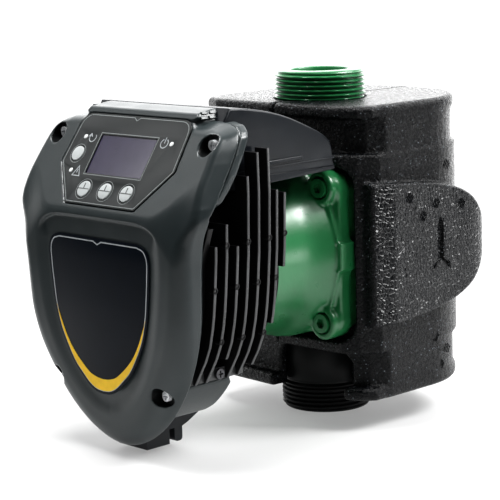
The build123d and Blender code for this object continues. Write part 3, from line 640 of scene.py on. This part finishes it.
def front_cover():
    """Cover of the control head, with its wells, label recess and display opening."""
    g = Grid(COVER_LOW, COVER_HIGH, 0.6)
    front = head_front(g)
    shallow = 1 - step_between(-head_front(g, False), 0, 11)
    draft = (2.6 - 1.4 * (g.x < 0)) * shallow * step_between(g.z, 118, 132)
    crown = step_between(g.z, 165.5, 167.5) * (1 - step_between(np.abs(g.x), 41, 43))
    top_drop = (3.2 - 1.5 * step_between(-slope_field(g, 0) / PANEL_COS, -1, 12)) * crown
    side = np.maximum(polygon_distance(HEAD, g.x, g.z) + draft * (1 - crown), g.z - COVER_HIGH.z + top_drop)
    edge = np.interp(g.z, [7, 42, 57, 81, 113, 125, 134], [10, 13, 11, 9, 7, 4, 3])
    edge = edge * (1 - crown) + 0.9 * crown
    body = cut(side, front, edge)
    behind = cover_behind(g)
    shell = remove(remove(body, body + COVER_WALL), behind)
    for x, z in WELLS:
        y = COVER_FRONT if z < AXIS_Z else panel_y(z)
        floor = y + (LOW_WELL_DEPTH if z < AXIS_Z else WELL_DEPTH)
        post = rod_field(g, x, z, 6.0, y - 5, y + 12)
        shell = np.maximum(fuse(shell, np.maximum(post, body), 0.8), body)
        shell = remove(shell, rod_field(g, x, z, WELL_R, y - 20, floor), 0.5)
        shell = remove(shell, rod_field(g, x, z, 1.6, y, y + 20))
    shell = remove(shell, behind)
    u, v, w = panel_coordinates(g)
    sheet = polygon_distance(overlay_outline(0.45), u, v)
    shell = remove(shell, np.maximum(sheet, np.abs(w) - 0.9), 0.2)
    window = np.maximum(np.abs(u) - 21.5, np.abs(v - panel_v(WINDOW_Z)) - 11.6)
    shell = remove(shell, np.maximum(window, -w - 12))
    obj = mesh_field("front_cover_shell", g, shell)
    finish_piece(obj, "cover", replaced=["front_cover"], angle=None)
    # the insides of the screw wells take the near-black: painted shade
    second_material(obj, "painted_shade_black", lambda place, normal: in_shaded_well(*place))
    ribs = []
    for share in (0.5, 0.85):
        x, z = 37.7 + 3.6 * share, 172.1 - 6.1 * share
        for start, end in ((2.2, 6.4), (7.4, 11.4)):
            for sign in (-1, 1):
                outline = [(sign * (x + dx), z + dz) for dx, dz in RIB_SECTION]
                ribs.append(side_plate("rib", outline, panel_y(z) + start, panel_y(z) + end, 0.15))
    finish_piece(join("head_side_ribs", ribs), "cover")


def overlay_outline(grow=0.0):
    """Outline of the panel film, on the panel."""
    top, bottom = 19.7 + grow, -29.0 - grow
    half = [(0, top), (39.6 + grow, top), (41.4 + grow * 1.1, -7.5), (25.4 + grow * 0.6, bottom), (0, bottom)]
    rounded = round_corners(half, [0.1, 7.5, 2.0, 1.5, 0.1], 12)
    return mirrored(rounded[13:-13])


def rear_housing():
    """Rim behind the cover; below the waist it steps in behind the cover."""
    low, high = box_mm("rear_housing")
    g = Grid(low, high, 0.7)
    stepped_in = np.maximum(polygon_distance(HEAD, g.x, g.z) + 6, g.z - WAIST_Z - 4)
    side = np.minimum(polygon_distance(RIM, g.x, g.z), stepped_in)
    front = np.maximum(COVER_BACK + 0.8 - g.y, slope_field(g, RIM_FRONT))
    back = np.maximum(COVER_FRONT + 20.5 - g.y, slope_field(g, RIM_BACK))
    solid = remove(cut(side, front, 0.8), back, 1.6)
    hollow = np.maximum(side + COVER_WALL, 2.0 - back)
    rim = remove(solid, hollow)
    rim = remove(rim, box_field(g, (-47.3, -150, 158.3), (47.3, 0, 200)))
    obj = mesh_field("rear_housing_rim", g, rim)
    finish_piece(obj, "cover", replaced=["rear_housing"], angle=None)


# ---- insulation ----
SHELL_LOW, SHELL_HIGH = box_mm("insulation_right")


def shell_plan(front_inset=0.0, corner_cut=0.0, rear_inset=0.0, side=59.0):
    """Plan of the foam shells, in X and Y."""
    front, rear = -36 + front_inset, 72 - rear_inset
    half = [(0, front), (44 - 0.2 * front_inset, front + 2),
            (side - 5 - corner_cut / 2, front + 6 + corner_cut / 4), (side, front + 12 + corner_cut)]
    turns = [math.radians(a) for a in range(0, 91, 6)]
    half += [(side * math.cos(t), 20 + (rear - 20) * math.sin(t)) for t in turns]
    return mirrored(half)


def cheek_profile():
    """Side profile of the cheeks, in Y and Z: tapering back to a round nose."""
    top = spline_path([(-28, 37), (8, 34), (30, 30), (45, 23.5), (56, 14), (62, 6.5), (64.5, 0)], 5)
    return [(y, AXIS_Z - z) for y, z in top[:-1]] + [(y, AXIS_Z + z) for y, z in top[::-1]]


def cheek_plan():
    """Plan of the cheeks, in X and Y."""
    corner = round_corners([(0, -28), (60, -28), (65.5, -16), (65.5, 66), (0, 66)], [0.1, 3, 5, 25, 0.1], 10)
    return mirrored(corner[11:-11])


LOWER_OPENING = {"right": 44.0, "left": 5.5}    # how far the gap round the lower port reaches in each shell


def insulation_half(side_name, mirror):
    """One foam shell with lips, stepped bands, cheek, flow arrow and cavity."""
    g = Grid((0.15, SHELL_LOW.y, SHELL_LOW.z), (SHELL_HIGH.x, SHELL_HIGH.y, SHELL_HIGH.z), 0.85)
    half_height = (SHELL_HIGH.z - SHELL_LOW.z) / 2
    core = cut(polygon_distance(shell_plan(7, 3, 3.5), g.x, g.y), g.rise - half_height + 1, 1.5)
    lip_level = np.abs(g.rise - (half_height - 3.3)) - 3.3
    lip = cut(polygon_distance(shell_plan(), g.x, g.y), lip_level, 2.6)
    band = cut(polygon_distance(shell_plan(0, 4, -1.4, 59.28), g.x, g.y), g.rise - 50.8, 1.4)
    cheek = cut(polygon_distance(cheek_profile(), g.y, g.z), polygon_distance(cheek_plan(), g.x, g.y), 2.2)
    solid = fuse(fuse(core, lip, 2.0), fuse(band, cheek, 1.0), 1.2)
    opening = cut(np.abs(g.x) - 50, g.rise - 45, 10)
    solid = remove(solid, np.maximum(opening, g.y + 21.7), 1.0)
    solid = remove(solid, np.hypot(g.x, g.y) - 24.4, 0.8)
    solid = remove(solid, rod_field(g, 0, AXIS_Z, 38.3, -60, -2.7))
    solid = remove(solid, rod_field(g, 0, AXIS_Z, 32.3, -60, 29.8))
    arrow = polygon_distance(arrow_outline(), g.y, g.z)
    solid = remove(solid, np.maximum(arrow, 63.6 - g.x), 0.5)
    solid = remove(solid, box_field(g, (-2, -60, 100), (1.6, -30, 200)), 0.8)
    reach = LOWER_OPENING[side_name]
    solid = remove(solid, np.maximum(cut(g.x - reach, g.z - 37.5, 7), g.y + 6), 1.2)
    solid = cut(solid, 0.15 - g.x, 0.8)
    obj = mesh_field("insulation_shell_" + side_name, g, solid)
    if mirror:
        obj.data.transform(Matrix.Diagonal((-1, 1, 1, 1)))
        obj.data.flip_normals()
    node = "insulation_" + side_name
    finish_piece(obj, "foam", replaced=[node], angle=None)
    second_material(obj, "foam_grain", lambda place, normal: abs(place.x) > 61 and abs(normal.x) > 0.8)


def arrow_outline():
    """Flow arrow sunk in the cheeks: a pointed bar with a notched tail."""
    return [(19, 105), (21.2, 101), (21.2, 83), (26, 79.5), (26, 77.5), (19, 83.5), (12, 77.5), (12, 79.5),
            (16.8, 83), (16.8, 101)]


VENTS_SIDE = {                   # places on the side, in Y and Z, at each distance from the middle
    58.35: ((-3.3, 156.4), (4.7, 145.4), (22.1, 142.9), (4.0, 35.0), (12.3, 25.3), (-2.2, 23.8), (26.0, 25.1),
            (31.0, 33.0)),
    59.3: ((-4.6, 133.5), (12.0, 131.0), (31.0, 130.2), (11.9, 48.6), (20.9, 41.0), (-4.2, 45.4)),
    65.5: ((-4.7, 117.4), (15.7, 112.4), (5.3, 106.9), (35.9, 109.9)),
}
VENTS_TOP = [(22.5, 33.5), (25.7, 12.4), (43.3, 0.0), (42.8, 21.4), (38.8, 45.7), (19.8, 59.5), (5.5, 44.0),
             (22.0, -19.5), (40.0, -9.7), (54.0, 6.0), (5.0, 62.0)]


def vent_bars(place):
    """The slots of one round vent mark."""
    bars = []
    for level in (-1.8, -0.6, 0.6, 1.8):
        half = math.sqrt(2.9 ** 2 - level ** 2) * 0.85
        bars.append(plate("bar", [rectangle(-half, half, level - 0.25, level + 0.25)], place, -0.1, 0.12))
    return bars


def vents():
    """Round slotted marks that steam vents leave on the foam."""
    for side_name, sign in (("right", 1), ("left", -1)):
        bars = []
        right, up = (0, sign * 0.5, 0.87), (0, -sign * 0.87, 0.5)
        for x, places in VENTS_SIDE.items():
            for y, z in places:
                bars += vent_bars(frame_matrix((sign * x, y, z), right, up))
        for x, y in VENTS_TOP:      # the underside has none where its front is cut away
            for z, flip in [(SHELL_HIGH.z, 1)] + [(SHELL_LOW.z, -1)] * (y > -5):
                up = (-0.71 * flip, 0.71 * flip, 0)
                bars += vent_bars(frame_matrix((sign * x, y, z), (0.71, 0.71, 0), up))
        finish_piece(join("vent_marks_" + side_name, bars), "vent")


# ---- green castings ----
BOLTS = [(x, AXIS_Z + rise) for x in (-37, 37) for rise in (-34.5, 34.5)]
CASING_LOW, CASING_HIGH = box_mm("motor_casing")


def motor_casing():
    """Barrel flaring into the flange, with bolt bosses, webs and side lugs."""
    g = Grid((CASING_LOW.x, -100, CASING_LOW.z), CASING_HIGH, 0.7)
    radius = np.hypot(g.x, g.z - AXIS_Z)
    flare = 42 + 4.5 * step_between(g.y, -62, -37) ** 2
    barrel = cut(radius - flare, np.abs(g.y + 66) - 34, 3)
    flange = cut(cut(np.abs(g.x) - 46, g.rise - 41, 9), np.abs(g.y + 32) - 4, 1.2)
    solid = fuse(barrel, flange, 3.0)
    for x, z in BOLTS:
        solid = fuse(solid, rod_field(g, x, z, 8.6, -41, -28, 1.5), 2.0)
    for side in (-1, 1):
        lug = box_field(g, (side * 47 - 3, -38.5, AXIS_Z - 7), (side * 47 + 3, -28, AXIS_Z + 7), 1)
        solid = fuse(solid, np.maximum(lug, np.abs(g.x) - CASING_HIGH.x), 1.0)
        for rise in (-1, 1):
            along = (g.z - AXIS_Z) * rise
            web_x = 46.5 - 0.32 * (along - 7)
            web = np.maximum(np.abs(np.abs(g.x) - web_x) - 1.1, np.maximum(7 - along, along - 29))
            web = np.maximum(np.maximum(web, np.abs(g.y + 34) - 5), -side * g.x)
            solid = fuse(solid, web, 1.2)
    for x, z in BOLTS:
        solid = remove(solid, rod_field(g, x, z, 5.5, -60, -37.2), 0.8)
        solid = remove(solid, rod_field(g, x, z, 3.2, -60, 0))
    solid = remove(solid, rod_field(g, 0, AXIS_Z, 38, -95, 0))
    obj = mesh_field("motor_casing_cast", g, solid)
    finish_piece(obj, "green", replaced=["motor_casing"], angle=None)


def port(name, face, inward):
    """One port: bore, rounded mouth, helical thread and neck."""
    pitch, depth, root, bore = 2.309, 1.45, 22.4, 15.2

    def crest(turns, radius, along):
        if radius < root - 0.01:
            return 0.0
        run = (along - face) * inward
        phase = (run / pitch - turns / (2 * np.pi)) % 1.0
        ridge = np.clip(1.6 - np.abs(phase - 0.5) * 4.4, 0, 1)
        fade = step_between(np.array(run), 0.6, 2.6) * (1 - step_between(np.array(run), 14.0, 16.0))
        return depth * ridge * fade

    profile = [(bore, face + inward * 30), (bore, face + inward * 1.2), (bore + 0.4, face + inward * 0.4),
               (bore + 1.2, face), (root - 1.6, face), (root - 0.5, face + inward * 0.3)]
    runs = np.arange(0.6, 17.0, 0.16)
    profile += [(root, face + inward * float(r)) for r in runs]
    profile += [(root - 0.9, face + inward * 17.6), (root - 0.9, face + inward * 40)]
    return lathe(name, profile, count=160, height=crest)


def pump_body():
    """Casting: the two ports and the volute between them."""
    low, high = box_mm("pump_body")
    g = Grid((low.x, low.y, 30), (high.x, high.y, 150), 1.0)
    pipe = np.maximum(np.hypot(g.x, g.y) - 21.5, g.rise - 56)
    volute = rod_field(g, 0, AXIS_Z, 38, -24, -3, 3)
    back = rod_field(g, 0, AXIS_Z, 32, -20, 29.5, 5)
    flange = cut(cut(np.abs(g.x) - 45, g.rise - 40, 8), np.abs(g.y + 25) - 3, 1)
    solid = fuse(fuse(pipe, volute, 4), fuse(back, flange, 3), 4)
    solid = remove(solid, rod_field(g, 0, AXIS_Z, 34, -60, -7))
    solid = remove(solid, rod_field(g, 0, AXIS_Z, 12, -60, 17))
    solid = remove(solid, np.maximum(np.hypot(g.x, g.y) - 15.2, 60 - g.rise))
    volute_mesh = mesh_field("volute", g, solid)
    ports = [port("port_low", 0.0, 1), port("port_high", PORT_TOP, -1)]
    collar = [(19, 17), (23.2, 17), (23.7, 18), (23.7, 37), (22.7, 39), (19, 39), (19, 17)]
    obj = join("pump_body_cast", [volute_mesh, lathe("collar", collar)] + ports)
    face_outwards(obj.data)
    finish_piece(obj, "green", replaced=["pump_body"], angle=35)
    # faces below 46 mm take the near-black: painted shade on the green lower port and volute
    second_material(obj, "painted_shade_black", lambda place, normal: place.z < 46)


# ---- black motor parts ----
FIN_FIRST_Y, FIN_PITCH, FIN_THICK = -129.5, 6.92, 1.8
FIN_SIDE = [(57.0, 155.0), (57.0, 150.0), (57.3, 131.0), (56.3, 103.0), (54.8, 86.0), (53.7, 77.0),
            (52.5, 70.0), (50.2, 60.8), (46.8, 53.2), (43.0, 47.0), (39.2, 40.8)]
FIN_INSETS = (0, 0, 0, 0, 0, 0, 2.0, 3.7)
FIN_TOPS = (109.3, 119.0, 107.8, 139.8, 150.3, 151.5, 131.0, 128.8)
FIN_BOTTOMS = (41.0, 41.0, 52.3, 41.0, 41.2, 45.2, 65.5, 92.5)
SLEEVE_R = 47.5
HOOD_SIDE = 47.0


def side_plate(name, points, low, high, bevel):
    """A plate whose outline is drawn in X and Z, between two Y planes."""
    return plate(name, [points], frame_matrix((0, 0, 0), (1, 0, 0), (0, 0, 1)), -high, -low, bevel)


def fin_reach(z):
    """How far the fins reach out at a height."""
    return float(np.interp(z, [p[1] for p in FIN_SIDE[::-1]], [p[0] for p in FIN_SIDE[::-1]]))


def fin_inner(z):
    """Where a fin starts at a height: beside the base, the sleeve or the hood."""
    if z < 46.7:
        return 38.1
    if z > 130.4:
        return HOOD_SIDE + 1.7
    return max(30.0, math.sqrt(max((SLEEVE_R - 0.3) ** 2 - (z - AXIS_Z) ** 2, 0)))


def fin_outline(index):
    """Outline of one fin on the right, in X and Z."""
    low, high = FIN_BOTTOMS[index], FIN_TOPS[index]
    corners = [z for _, z in FIN_SIDE if low < z < high]
    levels = sorted({low, high, *corners, *np.arange(low, high, 2.0).tolist()})
    outer = [(fin_reach(z) - FIN_INSETS[index], z) for z in levels]
    inner = [(min(fin_inner(z), x - 0.8), z) for x, z in outer]
    return outer + inner[::-1]


def boss(x, y, z):
    """Ejector boss across a fin's edge: a short ring."""
    ring = [(0.55, -2.0), (0.55, 1.1), (0.75, 1.35), (1.35, 1.35), (1.6, 1.1), (1.6, -2.0)]
    obj = lathe("boss", ring, count=24)
    turn = Matrix.Rotation(math.copysign(math.pi / 2, x), 4, "Y")
    obj.data.transform(Matrix.Translation(Vector((x, y, z)) * MM) @ turn)
    return obj


def heat_sink():
    """Sleeve, base, back plate, side fins and their ejector bosses."""
    pieces = []
    bosses = {109: (1, 3, 5, 7), 88.5: (0, 2, 4, 6), 62.5: (1, 3, 5)}
    for index in range(len(FIN_TOPS)):
        y = FIN_FIRST_Y + index * FIN_PITCH
        for sign in (-1, 1):
            outline = [(sign * x, z) for x, z in fin_outline(index)]
            pieces.append(side_plate("fin", outline, y - FIN_THICK / 2, y + FIN_THICK / 2, 0.35))
            for level, fins in bosses.items():
                if index in fins:
                    pieces.append(boss(sign * (fin_reach(level) - FIN_INSETS[index] - 1.0), y, level))
    sleeve = [(42.2, -129), (SLEEVE_R, -129), (SLEEVE_R, -81), (46.8, -80), (42.2, -80), (42.2, -129)]
    pieces.append(lathe("sleeve", sleeve, (0, 0, AXIS_Z), "Y"))
    back = [(56.5, 118), (50, 100), (49, 80), (46, 66), (39, 52), (30, 41.2)]
    pieces.append(side_plate("back", back + [(-x, z) for x, z in back[::-1]], -134.2, -130.5, 0.6))
    pieces.append(side_plate("base", rectangle(-38, 38, 40.9, 46.6), -133, -97, 0.8))
    obj = join("heat_sink_casting", pieces)
    finish_piece(obj, "sink", replaced=["heat_sink", "cooling_fins"])
    # the fins' outer edges and bosses take the lighter grey, a painted highlight
    second_material(obj, "fin_edge_painted_highlight", gets_fin_edge_highlight)


def gets_fin_edge_highlight(place, normal):
    """Whether a face is on a fin's outer edge or an ejector boss, where the painted highlight goes."""
    outer = abs(place.x) > fin_reach(place.z) - 4.3 and normal.x * math.copysign(1, place.x) > 0.35
    return outer and place.y > FIN_FIRST_Y - 0.85 and place.z > 41


def hood():
    """Cover over the motor's top, with its side rails, beads and skirt."""
    arc = [(-40.2, 139), (-40.6, 144.3), (-42.6, 149.4), (-48.9, 154), (-60.8, 159.5), (-72.4, 164),
           (-83.8, 167.2), (-92.3, 168.9), (-100.7, 170.2), (-109.3, 170.9)]
    outline = [(-38.6, 136)] + spline_path(arc, 4) + [(-117.6, 158.8), (-111.9, 158.2), (-111.9, 137)]
    place = frame_matrix((0, 0, 0), (0, 1, 0), (0, 0, 1))
    pieces = [plate("hood_body", [outline], place, -HOOD_SIDE, HOOD_SIDE, 1.2)]
    for sign in (-1, 1):
        for name, inner, proud, radius, bevel, corners in (
                ("rail", 46, 1.1, 0.6, 0.45, [(-90, 141.4), (-62.5, 142.2), (-62.5, 144), (-90, 143.6)]),
                ("bead", 44, 0.5, 0.25, 0.2, [(-111, 139.6), (-40, 140.2), (-40, 141), (-111, 140.5)]),
                ("skirt", 44, -0.4, 0.3, 0.3, [(-111, 131.9), (-39, 134.6), (-39, 136.4), (-111, 137.4)])):
            low, high = sorted((sign * inner, sign * (HOOD_SIDE + proud)))
            pieces.append(plate(name, [round_corners(corners, radius, 3)], place, low, high, bevel))
    obj = join("hood_moulding", pieces)
    finish_piece(obj, "black", replaced=["hood"])


def chin():
    """Lower compartment behind the cover."""
    low, high = box_mm("terminal_chin")
    g = Grid(low, high, 0.7)
    side = polygon_distance(HEAD, g.x, g.z) + 7
    profile = round_corners([(low.y, low.z), (low.y, high.z), (high.y - 3, high.z), (high.y, high.z - 3.5),
                             (high.y, low.z + 3), (high.y - 3, low.z)], [0.4, 1, 1.5, 1.5, 3, 3])
    shape = cut(side, polygon_distance(profile, g.y, g.z), 1.6)
    shape = remove(shape, box_field(g, (-10.8, -150, -10), (10.8, -101, 24)), 0.5)
    obj = mesh_field("terminal_chin_moulding", g, shape)
    finish_piece(obj, "cover", replaced=["terminal_chin"], angle=None)


# ---- panel graphics ----
KEYS = [("round_button", -31.9, 147.7, 3.9), ("key_left", -15.6, 132.7, 4.2),
        ("key_middle", 0.0, 132.7, 4.2), ("key_right", 15.6, 132.7, 4.2)]
LAMPS = [(-31.8, 155.4), (-31.5, 140.1), (31.1, 155.5)]
WINDOW = (-21.0, 21.0, panel_v(WINDOW_Z) - 11.3, panel_v(WINDOW_Z) + 11.3)


def rectangle(u_low, u_high, v_low, v_high):
    """Corners of a rectangle."""
    return [(u_low, v_low), (u_high, v_low), (u_high, v_high), (u_low, v_high)]


def notched(outline, half=2.2, deep=1.6):
    """Put a small V notch in the middle of an outline's top edge, where the outline starts."""
    top = outline[0][1]
    rest = [p for p in outline if p[1] < top - 0.01 or abs(p[0]) > half]
    return [(0, top - deep), (half, top)] + rest + [(-half, top)]


def printed(path, width, closed=False, top=0.16):
    """A thin printed stroke on the panel's film."""
    return plate("stroke", ribbon(path, width, closed), PANEL, 0.08, top)


def panel_film():
    """Film with its printed outline, window frame, lamp and key holes."""
    holes = [circle(x, panel_v(z), r + 0.35) for _, x, z, r in KEYS]
    holes += [circle(x, panel_v(z), 1.35, 24) for x, z in LAMPS]
    window = rectangle(WINDOW[0] + 0.8, WINDOW[1] - 0.8, WINDOW[2] + 0.8, WINDOW[3] - 0.8)
    film = plate("panel_film", [overlay_outline(), window] + holes, PANEL, -0.8, 0.1, 0.1)
    finish_piece(film, "overlay", replaced=["panel_overlay"])
    lines = [printed(notched(overlay_outline(-1.0)), 0.42, True), printed(rectangle(*WINDOW), 0.4, True)]
    lines += [printed(circle(x, panel_v(z), r + 1.15), 0.28, True) for _, x, z, r in KEYS]
    finish_piece(join("panel_lines", lines), "line")


def arc_points(u, v, radius, start, end, count=20):
    """Points along an arc; start and end are in degrees."""
    turns = [math.radians(start + (end - start) * i / count) for i in range(count + 1)]
    return [(u + radius * math.cos(t), v + radius * math.sin(t)) for t in turns]


def panel_icons():
    """Generic symbols beside the lamps: turning arrow, warning triangle and standby."""
    u, v = -26.2, panel_v(155.2)
    strokes = [(arc_points(u, v, 2.3, 150, 400), 0.5),
               ([(u - 3.4, v + 0.2), (u - 2.0, v + 2.0), (u - 0.6, v + 0.4)], 0.5)]
    u, v = -26.4, panel_v(139.9)
    strokes += [([(u - 2.7, v - 2.3), (u + 2.7, v - 2.3), (u, v + 2.9)], 0.45, True),
                ([(u, v - 0.8), (u, v + 1.3)], 0.5)]
    u, v = 26.1, panel_v(155.5)
    strokes += [(arc_points(u, v, 2.4, 120, 420), 0.5), ([(u, v), (u, v + 3.2)], 0.5)]
    icons = [printed(*stroke, top=0.18) for stroke in strokes]
    finish_piece(join("panel_icons", icons), "white")


def keys():
    """Push buttons with printed marks; each rides on its own body."""
    for name, x, z, radius in KEYS:
        v = panel_v(z)
        cap = plate(name + "_cap", [circle(x, v, radius, 64)], PANEL, -1.6, 0.55, 0.35)
        stem = plate(name + "_stem", [circle(x, v, radius * 0.45, 32)], PANEL, -7.0, -1.5, 0.1)
        finish_piece(join(name + "_cap", [cap, stem]), "key", name + "_body", [name])
        if name != "round_button":
            reach = radius - 0.3
            strokes = (([(x - reach, v), (x + reach, v)], 0.5), ([(x, v), (x, v + radius - 1.2)], 0.7))
            marks = [plate("mark", ribbon(*stroke), PANEL, 0.5, 0.62) for stroke in strokes]
            finish_piece(join(name + "_marks", marks), "mark", name + "_body")


def lamps():
    """Status lamps: round light guides."""
    made = [plate("lamp", [circle(x, panel_v(z), 1.25, 32)], PANEL, -7.6, 0.3, 0.3) for x, z in LAMPS]
    finish_piece(join("status_lamp_guides", made), "lamp", replaced=["status_lamps"])


def label():
    """Label in the recess: dark face, fine notched outline and a yellow crescent below."""
    half = [(0, 109.5), (28.7, 109.5), (33.2, 108), (35.4, 104), (35.3, 97), (34.1, 85), (32.6, 75),
            (28.9, 63.4), (20.9, 50), (14.5, 43.8), (9.7, 39.8), (5, 37.6), (0, 37)]
    line = [half[0]] + spline_path(half[1:], 5)
    grown = []
    for (x0, z0), (x, z), (x1, z1) in zip([half[0]] + line, line, line[1:] + [(-5, 37.6)]):
        normal = Vector((-(z1 - z0), x1 - x0)).normalized()
        grown.append((max(x + 1.7 * normal.x, 0), z + 1.7 * normal.y))
    face = mirrored([(0, grown[1][1])] + grown[1:-1] + [(0, grown[-1][1])])
    plate_face = plate("label_face", [face], FRONT, 0, 0.45, 0.12)
    finish_piece(plate_face, "label", replaced=["label_plate"])
    ring = notched(mirrored(line), 3.0, 1.4)
    finish_piece(plate("label_line", ribbon(ring, 0.6, True), FRONT, 0.42, 0.53), "white")
    outer = [p for p in line if p[1] < 75.5]
    inner = spline_path([(33.1, 75.6), (27.2, 62.8), (20.8, 53.8), (11, 45.6), (5, 43.3), (0, 42.7)], 6)
    right = outer + [(-x, z) for x, z in outer[-2::-1]] + [(-x, z) for x, z in inner[:-1]] + inner[::-1]
    crescent = plate("label_crescent", [right], FRONT, 0.42, 0.6)
    finish_piece(crescent, "yellow", replaced=["label_arc"])


def shade_inner_nodes():
    """Give every CAD node that stays its finish; unlisted ones are plain components."""
    finish = {
        "steel": ("wear_ring", "rotor_shaft", "bearing_plate", "rotor_can"),
        "carbon": ("rotor_magnet", "thrust_ring", "front_bearing", "rear_bearing"),
        "rubber": ("body_gasket", "cover_gasket"), "copper": ("stator_windings",), "green": ("motor_bolts",),
        "dark_steel": ("stator_core", "heat_sink_screws"), "black": ("connector_socket", "connector_latch"),
        "display": ("display_window",), "board": ("control_board", "power_board"), "zinc": ("cover_screws",),
    }
    chosen = {node: material for material, group in finish.items() for node in group}
    for name, obj in nodes.items():
        for place in obj.material_slots:
            place.material = M[chosen.get(name, "component")]


# ---- floor, light and camera ----
def stage():
    """Pale round floor through the lower port's front edge and the cover's tip."""
    rest_front, rest_port = Vector((0, -147, 4.6)), Vector((0, -23, 0))
    slope = (rest_front.z - rest_port.z) / (rest_front.y - rest_port.y)
    radius, count = 430.0, 96
    rim = [(u, v, (v - rest_port.y) * slope - 0.3) for u, v in circle(0, -40, radius, count)]
    floor = mesh_object("floor", rim, [tuple(range(count))])
    glow = {"Emission_Color": (1, 1, 1, 1), "Emission_Strength": 0.27}
    paper = Shader("floor_paper", (0.45, 0.45, 0.45), 0.8, **glow)
    floor.data.materials.append(paper.material)


def lamp(name, place, target, size, power):
    """A soft rectangular lamp aimed at a point, in metres."""
    data = bpy.data.lights.new(name, "AREA")
    data.shape = "RECTANGLE"
    data.size, data.size_y = size
    data.energy = power
    obj = new_object(name, data)
    obj.location = place
    obj.rotation_euler = (Vector(target) - Vector(place)).to_track_quat("-Z", "Y").to_euler()
    obj.visible_camera = False


BACKDROP = (-0.71, 0.68, 0.12)   # direction from the object to the bright backdrop
SKY_STOPS = ((0.0, 0.006), (0.5, 0.012), (0.72, 0.08), (0.86, 0.5), (0.95, 1.0))
SKY_STRENGTH = 2.8


def light():
    """Bright surroundings behind the object, dim ones on its right, and soft lamps around it."""
    world = bpy.data.worlds.new("studio")
    bpy.context.scene.world = world
    world.use_nodes = True
    tree = world.node_tree
    coords, path, ramp, seen = (
        add_node(tree, kind) for kind in ("TexCoord", "LightPath", "ValToRGB", "MixShader"))
    set_stops(ramp, SKY_STOPS)
    dot = add_node(tree, "VectorMath", operation="DOT_PRODUCT")
    dot.inputs[1].default_value = BACKDROP
    shift = add_node(tree, "Math", operation="MULTIPLY_ADD")
    shift.inputs[1].default_value = shift.inputs[2].default_value = 0.5
    white = add_node(tree, "Background", Color=(1, 1, 1, 1))
    around = tree.nodes["Background"]
    around.inputs["Strength"].default_value = SKY_STRENGTH
    for output, socket in (
            (coords.outputs["Generated"], dot.inputs[0]), (dot.outputs["Value"], shift.inputs[0]),
            (shift.outputs["Value"], ramp.inputs["Fac"]), (ramp.outputs["Color"], around.inputs["Color"]),
            (path.outputs["Is Camera Ray"], seen.inputs[0]), (around.outputs["Background"], seen.inputs[1]),
            (white.outputs["Background"], seen.inputs[2]),
            (seen.outputs["Shader"], tree.nodes["World Output"].inputs["Surface"])):
        tree.links.new(output, socket)
    middle = (0, -0.05, 0.09)
    lamp("right_lamp", (0.75, 0.05, 0.74), middle, (0.36, 0.36), 1.1)
    lamp("key_lamp", (0.52, 0.5, 0.84), middle, (0.42, 0.42), 14)
    lamp("over_lamp", (-0.1, -0.22, 1.1), middle, (0.4, 0.4), 12)
    lamp("front_lamp", (-0.62, -0.6, 0.8), middle, (0.35, 0.35), 1.3)
    lamp("low_lamp", (0.42, 0.36, 0.06), (0.05, 0.02, 0.05), (0.3, 0.1), 0.4)


def camera():
    """Camera at the photographed angle."""
    azimuth, elevation, roll = map(math.radians, (46.35, 9.96, -1.75))
    back = Vector((math.sin(azimuth) * math.cos(elevation), -math.cos(azimuth) * math.cos(elevation),
                   math.sin(elevation)))
    right = Vector((0, 0, 1)).cross(back).normalized()
    up = back.cross(right)
    right, up = (math.cos(roll) * right + math.sin(roll) * up, -math.sin(roll) * right + math.cos(roll) * up)
    place = Vector((0, 0, 90)) - 39.0 * right - 6.48 * up + 974.4 * back
    data = bpy.data.cameras.new("camera")
    data.sensor_width = 36.0
    data.lens = 132.0
    obj = new_object("camera", data)
    obj.matrix_world = Matrix([[right[i], up[i], back[i], place[i] * MM] for i in range(3)] + [[0, 0, 0, 1]])
    bpy.context.scene.camera = obj


camera()
stage()
light()
bpy.context.scene.view_settings.view_transform = "Standard"
bpy.context.scene.view_settings.look = "Medium High Contrast"
front_cover()
rear_housing()
insulation_half("right", False)
insulation_half("left", True)
vents()
motor_casing()
pump_body()
heat_sink()
hood()
chin()
panel_film()
panel_icons()
keys()
lamps()
label()
shade_inner_nodes()
